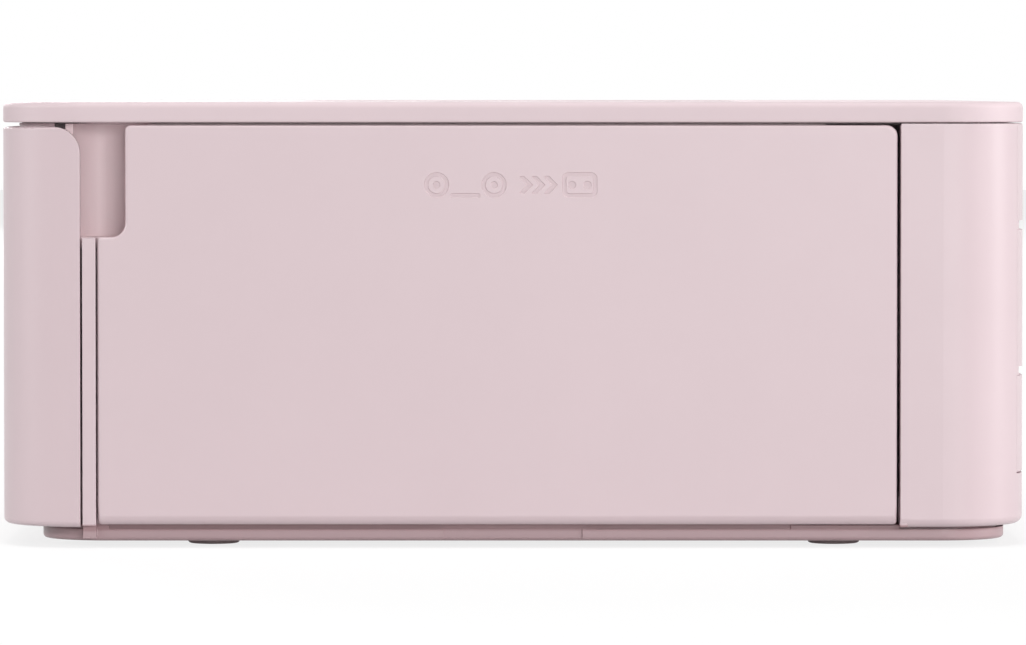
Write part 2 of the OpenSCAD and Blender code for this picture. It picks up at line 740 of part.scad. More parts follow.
module ink_door() {
    axis = [hinge_x, hinge_y];
    knuckle_low = door_z + 1;
    knuckle_high = door_top - 3.5 - knuckle_h;
    ends = [[door_z + 0.2, knuckle_low - 0.2], [knuckle_low + knuckle_h + 0.2, knuckle_low + knuckle_h + 4],
        [knuckle_high - 4, knuckle_high - 0.2], [knuckle_high + knuckle_h + 0.2, door_top - 0.3]];
    pins = [[ends[0][0], ends[1][1]], [ends[2][0], ends[3][1]]];
    pocket_r = knuckle_d / 2 + 0.1;
    color(pink) {
        difference() {
            union() {
                intersection() {
                    along_x(half_w - wall, half_w) door_outline();
                    along_y(door_y0, door_y1) wall_profile(half_w, wall, door_z, door_top, door_round, 0.2);
                }
                // Ribs round the back of the door
                for (z = [10, 27, 44]) block([inner_x - 1.4, inner_x + 0.2], [door_y0 + 9, hinge_y - 7],
                    [z, z + 1.2]);
                for (y = [door_y0 + 14, -8, hinge_y - 8])
                    block([inner_x - 1.4, inner_x + 0.2], [y, y + 1.2], [10, recess_z + 5]);
                // Latch hook
                along_y(hook_y[0], hook_y[1]) polygon([[inner_x + 0.2, 17], [inner_x - 4, 17],
                    [inner_x - 4, 19.6],
                    [inner_x - 2.4, 19.6], [inner_x - 1.6, 18.8], [inner_x + 0.2, 18.8]]);
            }
            for (k = [knuckle_low, knuckle_high]) translate([axis[0], axis[1], k - 0.2])
                cylinder(h = knuckle_h + 0.4, r = pocket_r);
        }
        for (e = ends) translate([axis[0], axis[1], e[0]]) cylinder(h = e[1] - e[0], r = knuckle_d / 2);
        for (p = pins) translate([axis[0], axis[1], p[0]]) cylinder(h = p[1] - p[0], r = hinge_pin_d / 2);
    }
}

bay_x = [half_w - 12.6, half_w - 10.6];

module ink_bay_frame() {
    knuckle_low = door_z + 1;
    knuckle_high = door_top - 3.5 - knuckle_h;
    pocket_y = [-half_d + column_l - 2, recess_y1 + 4];
    pocket_x0 = half_w - recess_in;
    color(pink_deep) {
        difference() {
            block(bay_x, [-half_d + 9.5, half_d - 18.5], [base_top, lid_z - 1.2]);
            along_x(bay_x[0] - 1, bay_x[1] + 1) stadium(supply_y, takeup_y, spool_z, tube_r + 0.7);
            // Window for the eject lever
            block([bay_x[0] - 1, bay_x[1] + 1], [lever_y - 5.2, supply_y], [lever_z - 2.6, lever_z + 2.6]);
        }
        // Catch over the door's latch hook
        block([bay_x[1] - 0.1, inner_x - 1.8], hook_y + [-1, 1], [19.9, 21.4]);
        // Ledge behind the door's upper edge
        block([bay_x[1] - 0.1, inner_x - ledge_gap], [pocket_y[1] - 0.1, hinge_y - 2.1],
            [door_top - 1.2, lid_z - seat_gap]);
        // Pin and ears of the eject lever
        translate([lever_x, lever_y, lever_z - lever_h / 2 - 1.2])
            cylinder(h = lever_h + 2.4, r = lever_pin_r);
        for (z = [lever_z - lever_h / 2 - 1.4, lever_z + lever_h / 2 + 0.2])
            block([lever_x - 1.4, bay_x[0] + 0.1], [lever_y - 1.6, lever_y + 1.6], [z, z + 1.2]);
        // Arms that carry the door on its pins
        for (k = [knuckle_low, knuckle_high]) difference() {
            translate([hinge_x, hinge_y, k]) linear_extrude(knuckle_h) {
                circle(knuckle_d / 2);
                polygon([[-0.8, -1.05], [bay_x[1] - hinge_x - 0.1, -1.7], [bay_x[1] - hinge_x - 0.1, -4.7],
                    [1.0, -0.9]]);
            }
            translate([hinge_x, hinge_y, k - 1]) cylinder(h = knuckle_h + 2, r = hinge_pin_d / 2 + run_fit);
        }
        // Finger recess: a pocket with a rounded back
        difference() {
            block([bay_x[1] - 0.2, inner_x - 0.4], pocket_y, [recess_z - 1.4, shell_top]);
            translate([0, 0, recess_z]) linear_extrude(body_h) {
                translate([pocket_x0 + 4, pocket_y[0] + 1 + 4]) circle(4);
                translate([pocket_x0 + 4, pocket_y[0] + 1]) square([8, 6]);
                translate([pocket_x0, pocket_y[0] + 5]) square([12, pocket_y[1] - pocket_y[0] - 6.2]);
            }
        }
    }
}

lever_x = plate_right_x + plate_t + 3.2;
lever_y = supply_y - tube_r - 8;
lever_z = spool_z - 3;
lever_h = 4;
lever_pin_r = 0.95;

// Bell crank: its inner arm lies behind the cassette's end plate, its outer arm is the finger tab
module eject_lever() {
    color(white_pom) difference() {
        translate([lever_x, lever_y, lever_z - lever_h / 2]) {
            cylinder(h = lever_h, r = 2);
            linear_extrude(lever_h) polygon([[-1.7, -0.5], [-2.8, 2.2], [-2.8, 6.4], [-1.6, 6.4], [-1.6, 3],
                [0.5, 1.5]]);
            translate([-2.2, 6.4, 0]) cylinder(h = lever_h, r = 0.7);
            linear_extrude(lever_h) polygon([[0.5, -1.6], [8.2, -1], [8.2, 0.6], [0.5, 1.6]]);
        }
        translate([lever_x, lever_y, lever_z - lever_h]) cylinder(h = 2 * lever_h, r = lever_pin_r + run_fit);
    }
}

module ink_cassette() {
    x0 = cassette_x0;
    x1 = cassette_x1;
    end_t = 2.6;
    bridge_z = spool_z + tube_r - 4;
    bridge_in = tube_r - 4.2;
    color(dark) difference() {
        union() {
            for (y = [supply_y, takeup_y]) difference() {
                rod_x(x0, x1 + 0.5, [y, spool_z], tube_r);
                rod_x(x0 + 1.4, x1 + 1, [y, spool_z], tube_r - tube_t);
                // Film mouth: under the supply spool, and facing the head at the take-up spool
                if (y < spool_mid_y) block([x0 + 4, x1 - 1], [y + 3, y + 7],
                    [spool_z - tube_r - 1, spool_z - tube_r + 3]);
                else block([x0 + 4, x1 - 1], [y - tube_r - 1, y - tube_r + 3], [spool_z - 6, spool_z - 2]);
            }
            // Bridges over the head, at the leading end and along the outer end
            along_x(x0, x0 + 3) translate([supply_y + bridge_in, bridge_z])
                square([spool_pitch - 2 * bridge_in, 3.4]);
            along_x(x1, x1 + end_t) stadium(supply_y, takeup_y, spool_z, tube_r + 0.1);
            // Grip to pull the cassette by
            along_x(x1 + end_t - 0.1, x1 + end_t + 4) translate([spool_mid_y, spool_z]) round_rect(13, 9, 2);
            // Lug that the eject lever pushes on
            block([x1, x1 + end_t], [supply_y - tube_r - 3, supply_y - tube_r + 1],
                [lever_z - 1.6, lever_z + 1.6]);
            // Pins that the spools turn on
            for (y = [supply_y, takeup_y]) rod_x(x1 - 3, x1 + 0.1, [y, spool_z], spool_pin_r);
            // Ribs on the end plate
            for (y = [supply_y, takeup_y]) along_x(x1 + end_t - 0.1, x1 + end_t + 0.6) difference() {
                translate([y, spool_z]) circle(9);
                translate([y, spool_z]) circle(7.8);
            }
        }
        for (y = [supply_y, takeup_y]) rod_x(x0 - 1, x0 + 2, [y, spool_z], 5 + run_fit);
        // Hollow under the grip
        along_x(x1 + end_t + 0.6, x1 + end_t + 5) for (sy = [-1, 1])
            translate([spool_mid_y + sy * 6.6, spool_z]) round_rect(4.4, 6, 1.5);
    }
}

film_x = [paper_x - paper_half, paper_x + paper_half];
spool_pin_r = 2;

module ink_film() {
    z = paper_z + 0.15;
    flat = 5.6;
    t = 0.12;
    path = [[supply_y + 5, spool_z - tube_r - 0.2], [platen_y - flat, z], [platen_y + flat, z],
        [platen_y + flat + 5, z + 6.3], [takeup_y - tube_r + 0.6, spool_z - 4]];
    back = [for (i = [len(path) - 1:-1:0]) path[i] + [i > 2 ? -t : 0, t]];
    color([0.25, 0.24, 0.28]) along_x(film_x[0], film_x[1]) polygon(concat(path, back));
}

// A spool: core with a driven socket at its left end, and the film wound on it
module spool(y, film_d) {
    at = [y, spool_z];
    difference() {
        union() {
            rod_x(cassette_x0 + 0.1, cassette_x0 + 6, at, 5);
            rod_x(cassette_x0 + 1.8, cassette_x1 - 0.3, at, 6);
            rod_x(film_x[0], film_x[1], at, film_d / 2);
            for (x = [cassette_x0 + 1.8, cassette_x1 - 2]) rod_x(x, x + 1.2, at, tube_r - tube_t - 0.4);
        }
        translate([0, at[0], at[1]]) along_x(cassette_x0 - 1, cassette_x0 + 5) circle(3.9, $fn = 6);
        rod_x(cassette_x1 - 4, cassette_x1 + 1, at, spool_pin_r + run_fit);
    }
}

module supply_spool() { color([0.55, 0.50, 0.20]) spool(supply_y, supply_d); }
module takeup_spool() { color([0.30, 0.28, 0.32]) spool(takeup_y, takeup_d); }

// Steel frame of the print mechanism
deck_z = 3.4;
plate_y = [supply_y - 23, takeup_y + 19];
deck_y1 = half_d - 14.5;
plate_z = [deck_z, body_h - 6.7];
flange_y = [1, plate_y[1] - 2];
bush_r = 3.4;
cam_shaft_r = 2;
platen_shaft_r = 2.4;
feed_shaft_r = 2.4;
pinch_shaft_r = 1.5;
pickup_shaft_r = 2;
spindle_r = 2;
pivot_at = [-47, 30];
pivot_r = 2;
pinch_z = feed_z + feed_d / 2 + 0.25 + pinch_d / 2;
pinch_at = [feed_y, pinch_z];
platen_at = [platen_y, platen_z];

module plate_outline() {
    difference() {
        translate([plate_y[0], plate_z[0]]) square([plate_y[1] - plate_y[0], plate_z[1] - plate_z[0]]);
        for (at = [cam_at, platen_at, feed_at]) translate(at) circle(bush_r + 0.02);
        translate(pivot_at) circle(pivot_r + 0.02);
        translate(pinch_at) circle(pinch_shaft_r + run_fit);
        translate(pickup_at) circle(pickup_shaft_r + run_fit);
        translate([-47, 8]) circle(2.5);
        translate([38, 8]) circle(3);
    }
}

module chassis_left() {
    x1 = plate_left_x + plate_t;
    color(steel) {
        difference() {
            along_x(plate_left_x, x1) plate_outline();
            rod_x(plate_left_x - 1, x1 + 1, takeup_at, spindle_r + run_fit);
        }
        // Studs for the gears that turn on fixed pins
        rod_x(bracket_x, plate_left_x + 0.1, reduction_at, 1.5);
        rod_x(plane_a - 0.6, plate_left_x + 0.1, clutch_at, 1.5);
        // Lower flange that lies on the deck
        block([x1 - 0.1, x1 + 6], flange_y, [deck_z + 1, deck_z + 2]);
    }
}

module chassis_right() {
    x0 = plate_right_x;
    x1 = x0 + plate_t;
    color(steel) {
        difference() {
            along_x(x0, x1) plate_outline();
            for (y = [supply_y, takeup_y]) rod_x(x0 - 1, x1 + 1, [y, spool_z], tube_r + 0.6);
            block([x0 - 1, x1 + 1], [supply_y, takeup_y], [spool_z + 7.5, body_h]);
        }
        block([x0 - 6, x0 + 0.1], flange_y, [deck_z + 1, deck_z + 2]);
    }
}

module chassis_deck() {
    color(steel) difference() {
        block([plate_left_x - 14, plate_right_x + plate_t], [0, deck_y1], [deck_z, deck_z + 1]);
        block([plate_left_x - 15, plate_left_x], [-13, 38.5], [0, 10]);
        for (x = [plate_left_x, plate_right_x])
            block([x - 0.02, x + plate_t + 0.02], [-13, plate_y[1] + 0.02], [0, 10]);
        for (x = [-25, 0, 25, 50]) block([x - 8, x + 8], [28, 44], [0, 10]);
    }
}

module motor_bracket() {
    color(steel) {
        difference() {
            along_x(bracket_x - plate_t, bracket_x) difference() {
                translate([-2, deck_z + 1]) square([deck_y1 + 2, plate_z[1] - deck_z - 1.5]);
                translate(feed_motor_at) circle(pitch_r(pinion_teeth) + 1.4);
                translate(ribbon_motor_at) circle(pitch_r(pinion_teeth) + 1.4);
                translate([42, 42]) circle(5);
            }
            rod_x(bracket_x - 2, bracket_x + 1, takeup_at, spindle_r + run_fit);
        }
        // Distance posts to the left side plate
        for (at = [[0, 47], [38, 46.5], [38.5, 7.5]]) rod_x(bracket_x - 0.1, plate_left_x, at, 2.2);
        block([bracket_x - 8, bracket_x], [22, deck_y1 - 2], [deck_z + 1, deck_z + 2]);
    }
}

module paper_guide() {
    x = [paper_x - paper_half - 5.5, paper_x + paper_half + 5.5];
    y0 = -half_d + 8.5;
    floor_z = [base_top, base_top + 1.4];
    color(white_pom) {
        difference() {
            union() {
                block(x, [-half_d + base_front_in + 1.6, -16], floor_z);
                for (w = [[x[0], x[0] + 1], [x[1] - 1, x[1]]]) block(w, [y0, -16], [floor_z[0], 25]);
                // Back wall that turns the paper up towards the platen
                along_x(x[0], x[1]) polygon([[-18.8, floor_z[0]], [-17.4, floor_z[0]], [-17.4, 8],
                    [-16, 10.6], [-17.2, 11.2],
                    [-18.8, 8.4]]);
                for (i = [0:4]) block([x[0] + 18 + 18 * i, x[0] + 19.4 + 18 * i], [y0, -19],
                    [floor_z[0], floor_z[1] + 0.6]);
            }
            for (s = [[x[0] - 1, x[0] + 2], [x[1] - 2, x[1] + 1]]) along_x(s[0], s[1]) translate(pickup_at)
                circle(pickup_shaft_r + 0.6);
        }
    }
}

module rear_guide() {
    x = [paper_x - paper_half - 4, paper_x + paper_half + 4];
    y0 = feed_y + 5;
    y1 = half_d - wall - 1;
    rise = slot_z - slot_h / 2 - 0.4;
    color(white_pom) {
        along_x(x[0], x[1]) polygon([[y0, 20.6], [y0 + 9, 22.6], [y1, rise - 0.2], [y1, rise - 1.4],
            [y0 + 9, 21.2], [y0, 19.4]]);
        for (i = [0:5]) along_x(x[0] + 6 + 19 * i, x[0] + 7.2 + 19 * i)
            polygon([[y1 - 18.9, deck_z + 1.02], [y1 - 13.3, deck_z + 1.02], [y1 - 7.3, rise - 1],
                [y0 + 17, 21.6]]);
    }
}

// Thermal head: glaze strip, heat sink and the arms it swings on
head_x = [paper_x - paper_half - 1, paper_x + paper_half + 1];
head_z = paper_z + 0.4 + head_lift;
head_t = 1.7;
sink_z = head_z + head_t;
sink_base = 4;
arm_left_x = plate_left_x + plate_t + 1.5;
arm_right_x = plate_right_x - 3;
arm_t = 1.5;
arm_low = 21.3;
arm_reach = platen_y - pivot_at[0];

module thermal_head() {
    color([0.85, 0.83, 0.78]) {
        along_x(head_x[0], head_x[1]) polygon([[platen_y - 5, head_z + 0.5], [platen_y - 1.2, head_z + 0.5],
            [platen_y - 0.6, head_z], [platen_y + 0.6, head_z], [platen_y + 1.2, head_z + 0.5],
                [platen_y + 5, head_z + 0.5],
            [platen_y + 5, sink_z], [platen_y - 5, sink_z]]);
    }
}

module head_sink() {
    fins = 6;
    color([0.80, 0.81, 0.83]) along_x(head_x[0], head_x[1]) {
        translate([platen_y - 6, sink_z]) square([12, sink_base]);
        for (i = [0:fins - 1]) translate([platen_y - 6 + i * (12 - 1) / (fins - 1), sink_z]) square([1, 17]);
    }
}

module arm_outline() {
    difference() {
        union() {
            translate(pivot_at) circle(4);
            polygon([[-51, 30], [-47, 26], [-44.5, arm_low], [-28, arm_low], [-27, 23], [-20.5, 23],
                [-19.5, arm_low], [-9, arm_low], [-6.5, 25], [6, sink_z + 0.1], [6, 34], [-8, 34],
                [-14, 25.1], [-40, 25.1], [-43, 30]]);
        }
        translate(pivot_at) circle(pivot_r + run_fit);
    }
}

module head_arm() {
    z = sink_z + sink_base;
    color(steel) {
        along_x(arm_left_x, arm_left_x + arm_t) arm_outline();
        along_x(arm_right_x, arm_right_x + arm_t) arm_outline();
        // Ears that grip the heat sink's ends
        block([arm_left_x + arm_t - 0.1, head_x[0]], [platen_y - 5, platen_y + 5], [z - 2, z]);
        block([head_x[1], arm_right_x + 0.1], [platen_y - 5, platen_y + 5], [z - 2, z]);
    }
}

module head_pivot_shaft() {
    color(steel) rod_x(plate_left_x - 0.5, plate_right_x + plate_t + 0.5, pivot_at, pivot_r);
}

// Torsion springs on the pivot shaft: a round wire carried along a helix
spring_turns = 6;
spring_r = 3.1;
wire_r = 0.35;
spring_pitch = 1.1;
spring_steps = 10;

function helix_point(t) = [t * spring_pitch, spring_r * cos(360 * t), spring_r * sin(360 * t)];
function helix_ring(t) = let (a = 360 * t, c = helix_point(t), out = [0, cos(a), sin(a)])
    [for (k = [0:5]) c + wire_r * (cos(60 * k) * out + sin(60 * k) * [1, 0, 0])];

module torsion_spring(x) {
    n = spring_turns * spring_steps;
    rings = [for (i = [0:n]) each helix_ring(i / spring_steps)];
    sides = [for (i = [0:n - 1]) for (k = [0:5]) let (a = 6 * i + k, b = 6 * i + (k + 1) % 6)
        each [[a, b, b + 6], [a, b + 6, a + 6]]];
    start = [for (k = [1:4]) [0, k + 1, k]];
    finish = [for (k = [1:4]) [6 * n, 6 * n + k, 6 * n + k + 1]];
    translate([x, pivot_at[0], pivot_at[1]]) polyhedron(points = rings, faces = concat(sides, start, finish));
}

module head_springs() {
    color(steel) {
        torsion_spring(arm_left_x + arm_t + 1);
        torsion_spring(arm_right_x - 1.4 - spring_turns * spring_pitch);
    }
}

// Shaft whose spiral cams lift the head, with the wheel that drives the pickup roller
module cam_shaft() {
    rise = (cam_y - pivot_at[0]) / arm_reach * head_lift;
    cam_r0 = arm_low - cam_z - 0.3 - rise;
    swing = 120;
    x0 = plane_a;
    color(white_pom) {
        rod_x(x0 - 0.4, plate_right_x + plate_t + 0.6, cam_at, cam_shaft_r);
        gear_x(plane_a, cam_at, cam_teeth, 0, 0);
        for (x = [arm_left_x, arm_right_x]) translate([0, cam_y, cam_z]) along_x(x, x + arm_t)
            polygon([for (a = [0:12:348]) let (lift = a <= 30 ? 1 : a <= 30 + swing ? 1 - (a - 30) / swing
                : a < 300 ? 0 : (a - 300) / 60) (cam_r0 + rise * lift) * [cos(a + 60), sin(a + 60)]]);
    }
}

module platen_roller() {
    color(dark) rod_x(head_x[0] - 2, head_x[1] + 2, platen_at, platen_d / 2);
    color(steel) rod_x(plate_left_x - 0.5, plate_right_x + plate_t + 0.5, platen_at, platen_shaft_r);
}

module feed_roller() {
    color(steel) {
        rod_x(head_x[0], head_x[1], feed_at, feed_d / 2);
        rod_x(plane_a - 0.3, plate_right_x + plate_t + 0.8, feed_at, feed_shaft_r);
    }
    color(white_pom) gear_x(plane_a, feed_at, feed_teeth, 0, 0);
}

module pinch_roller() {
    color(dark) for (i = [0:3]) rod_x(head_x[0] + 4 + 26 * i, head_x[0] + 22 + 26 * i, pinch_at, pinch_d / 2);
    color(steel) rod_x(plate_left_x - 0.6, plate_right_x + plate_t + 0.6, pinch_at, pinch_shaft_r);
}

module pickup_roller() {
    gear_phase = mesh_phase(0, cam_teeth, pickup_angle, pickup_teeth);
    color(dark) for (x = [paper_x - 22, paper_x + 8]) rod_x(x, x + 14, pickup_at, pickup_d / 2);
    color(steel) rod_x(plane_a - 0.3, plate_right_x + plate_t + 0.6, pickup_at, pickup_shaft_r);
    color(white_pom) gear_x(plane_a, pickup_at, pickup_teeth, gear_phase, 0);
}

module bush(x, at, shaft_r, side) {
    flange = [x + (side > 0 ? plate_t : -0.7), x + (side > 0 ? plate_t + 0.7 : 0)];
    difference() {
        union() {
            rod_x(x, x + plate_t, at, bush_r);
            rod_x(flange[0], flange[1], at, bush_r + 1);
        }
        rod_x(x - 2, x + 3, at, shaft_r + run_fit);
    }
}

module roller_bushes() {
    color(white_pom) for (b = [[cam_at, cam_shaft_r], [platen_at, platen_shaft_r], [feed_at, feed_shaft_r]]) {
        bush(plate_left_x, b[0], b[1], 1);
        bush(plate_right_x, b[0], b[1], -1);
    }
}

// Drive train
motor_shaft_r = 1;
motor_front_x = bracket_x - plate_t;

module motor(at, r, l) {
    color(steel) difference() {
        union() {
            rod_x(motor_front_x - l, motor_front_x, at, r);
            rod_x(motor_front_x - 0.1, motor_front_x + 1.2, at, 2.6);
        }
        rod_x(motor_front_x - 4, motor_front_x + 2, at, motor_shaft_r + run_fit);
    }
    color(dark) rod_x(motor_front_x - l - 1.4, motor_front_x - l + 0.1, at, r * 0.45);
}

feed_motor_r = 11.5;
feed_motor_l = 18;
ribbon_motor_r = 9;
ribbon_motor_l = 17;

module feed_motor() { motor(feed_motor_at, feed_motor_r, feed_motor_l); }
module ribbon_motor() { motor(ribbon_motor_at, ribbon_motor_r, ribbon_motor_l); }

reduction_phase = mesh_phase(0, feed_teeth, reduction_angle, small_teeth);

module feed_pinion() {
    phase = mesh_phase(reduction_phase, big_teeth, motor_angle, pinion_teeth);
    color(white_pom) gear_x(plane_b, feed_motor_at, pinion_teeth, phase, 0);
    color(steel) rod_x(motor_front_x - 3.5, plane_b + 0.2, feed_motor_at, motor_shaft_r);
}

module reduction_gear() {
    color(white_pom) {
        gear_x(plane_a, reduction_at, small_teeth, reduction_phase, 1.5 + run_fit);
        gear_x(plane_b, reduction_at, big_teeth, reduction_phase, 1.5 + run_fit);
        difference() {
            rod_x(plane_b + gear_w - 0.1, plane_a + 0.1, reduction_at, 3);
            rod_x(plane_b, plane_a + 1, reduction_at, 1.5 + run_fit);
        }
    }
}

module clutch_gear() {
    phase = mesh_phase(0, feed_teeth, clutch_angle, small_teeth);
    color(white_pom) gear_x(plane_a, clutch_at, small_teeth, phase, 1.5 + run_fit);
}

module takeup_spindle() {
    at = takeup_at;
    color(white_pom) {
        rod_x(bracket_x - plate_t - 0.3, plate_left_x + plate_t + 1.2, at, spindle_r);
        gear_x(plane_c, at, takeup_teeth, 0, 0);
        translate([0, at[0], at[1]]) along_x(plate_left_x + plate_t + 1, cassette_x0 + 3.6)
            circle(3.6, $fn = 6);
    }
}

module ribbon_pinion() {
    phase = mesh_phase(0, takeup_teeth, ribbon_angle, pinion_teeth);
    color(white_pom) gear_x(plane_c, ribbon_motor_at, pinion_teeth, phase, 0);
    color(steel) rod_x(motor_front_x - 3.5, plane_c + 0.2, ribbon_motor_at, motor_shaft_r);
}

// Boards and sockets
card_x = -half_w + 21.1;
card_z = 12.2;
port_x = card_x;
port_z = 19.4;
main_z = 8.4;
jack_x = -half_w + 17.1;
jack_z = 15.6;
power_z = 5.6;

module main_board() {
    pcb = 1.4;
    front = -half_d;
    edge_x = -half_w + 8.1;
    color(board_green) difference() {
        block([-half_w + 5.1, plate_left_x - 6.6], [front + 5.5, -14], [main_z, main_z + pcb]);
        translate([boss_at[0][0], boss_at[0][1], 0]) cylinder(h = 20, r = 3.3);
    }
    color(dark) {
        block([-71, -60], [-31, -20], [main_z + pcb - 0.1, main_z + pcb + 1.6]);
        block([-84, -77], [-24, -17], [main_z + pcb - 0.1, main_z + pcb + 1.1]);
        for (i = [0:3]) block([plate_left_x - 8.6, plate_left_x - 7.2],
            [front + 12.5 + 6 * i, front + 16.5 + 6 * i],
            [main_z + pcb - 0.1, main_z + pcb + 2]);
    }
    color(steel) for (y = [14.5, 22.5]) translate([edge_x, front + y, main_z + pcb - 0.1])
        cylinder(h = 4, r = 1.9);
    // Posts down to the base
    color(steel) for (at = [[edge_x, front + 8.5], [-60, -16], [-60, front + 8.5]])
        translate([at[0], at[1], base_top])
        cylinder(h = main_z - base_top + 0.1, r = 1.6);
}

module card_socket() {
    z0 = main_z + 1.4;
    color(steel) difference() {
        block([card_x - 10.8, card_x + 10.8 + 0.6], [-half_d + 3.9, -half_d + 29.5], [z0, z0 + 4.4]);
        block([card_x - 10.2, card_x + 10.8], [-half_d + 2.5, -half_d + 27.5], [card_z - 1.5, card_z + 1.3]);
    }
}

module usb_port() {
    color(steel) difference() {
        along_y(-half_d + wall + 0.2, -half_d + wall + 8) translate([port_x, port_z]) {
            square([5.8, 3.2], center = true);
            for (sx = [-1, 1]) translate([sx * 2.9, 0]) circle(1.6);
        }
        along_y(-half_d, -half_d + wall + 6.8) translate([port_x, port_z]) {
            square([5.4, 2.4], center = true);
            for (sx = [-1, 1]) translate([sx * 2.7, 0]) circle(1.2);
        }
    }
    color(steel) block([port_x - 3, port_x + 3], [-half_d + wall + 3.4, -half_d + wall + 7.6],
        [main_z + 5.8, port_z - 1.5]);
}

module power_board() {
    pcb = 1.4;
    x0 = -half_w + 7.1;
    color(board_green) block([x0, x0 + 17], [half_d - 15.5, half_d - 3.9], [power_z, power_z + pcb]);
    color(steel) for (x = [x0 + 2, x0 + 15]) translate([x, half_d - 13.5, base_top])
        cylinder(h = power_z - base_top + 0.1, r = 1.5);
    color(dark) translate([x0 + 2.8, half_d - 11.5, power_z + pcb - 0.1]) cylinder(h = 7, r = 2.3);
}

module dc_jack() {
    y1 = half_d - 3.3;
    color(dark) difference() {
        union() {
            block([jack_x - 4.6, jack_x + 4.6], [y1 - 9.2, y1], [power_z + 1.4, jack_z + 4.6]);
            translate([jack_x, y1 - 0.1, jack_z]) rotate([-90, 0, 0]) cylinder(h = 3.1, r = 3.2);
        }
        translate([jack_x, y1 - 7.2, jack_z]) rotate([-90, 0, 0]) cylinder(h = 20, r = 2.6);
    }
    color(steel) translate([jack_x, y1 - 7.3, jack_z]) rotate([-90, 0, 0]) cylinder(h = 8, r = 0.8);
}

base_casing();
rubber_feet();
base_screws();
main_shell();
rear_panel();
front_bezel();
paper_door();
top_cover();
screen_window();
lcd_panel();
key_board();
button_power();
button_edit();
button_menu();
button_zoom_out();
button_zoom_in();
button_up();
button_down();
button_left();
button_right();
button_ok();
button_back();
button_print();
ink_door();
ink_bay_frame();
eject_lever();
ink_cassette();
ink_film();
supply_spool();
takeup_spool();
chassis_left();
chassis_right();
chassis_deck();
motor_bracket();
paper_guide();
rear_guide();
thermal_head();
head_sink();
head_arm();
head_pivot_shaft();
head_springs();
cam_shaft();
platen_roller();
feed_roller();
pinch_roller();
pickup_roller();
roller_bushes();
feed_motor();
feed_pinion();
reduction_gear();
clutch_gear();
ribbon_motor();
ribbon_pinion();
takeup_spindle();
main_board();
card_socket();
usb_port();
power_board();
dc_jack();
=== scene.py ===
# Compact photo printer: the looks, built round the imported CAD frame.
# Metres, +X is the side with the ink door, +Y the rear, +Z up.
import json
import math

import bmesh
import bpy
import numpy as np
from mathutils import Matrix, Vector
from mathutils.geometry import delaunay_2d_cdt


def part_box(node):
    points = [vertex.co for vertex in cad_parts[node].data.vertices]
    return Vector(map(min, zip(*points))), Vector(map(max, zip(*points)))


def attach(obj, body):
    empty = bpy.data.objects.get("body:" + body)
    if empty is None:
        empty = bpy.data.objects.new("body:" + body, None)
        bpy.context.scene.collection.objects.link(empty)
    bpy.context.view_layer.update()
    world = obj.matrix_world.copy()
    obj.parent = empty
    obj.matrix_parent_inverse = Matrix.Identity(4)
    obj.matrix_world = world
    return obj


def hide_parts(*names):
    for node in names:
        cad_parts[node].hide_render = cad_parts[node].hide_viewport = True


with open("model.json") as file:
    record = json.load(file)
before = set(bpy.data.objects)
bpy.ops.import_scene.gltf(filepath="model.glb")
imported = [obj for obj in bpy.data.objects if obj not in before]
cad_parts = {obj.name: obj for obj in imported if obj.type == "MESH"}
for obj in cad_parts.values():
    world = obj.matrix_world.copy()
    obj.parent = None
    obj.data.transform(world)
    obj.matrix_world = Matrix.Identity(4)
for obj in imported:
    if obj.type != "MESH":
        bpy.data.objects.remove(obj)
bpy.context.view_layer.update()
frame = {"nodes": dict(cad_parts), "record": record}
nodes = frame["nodes"]
print("stage: frame loaded,", len(nodes), "nodes")

mm = 0.001


# Materials

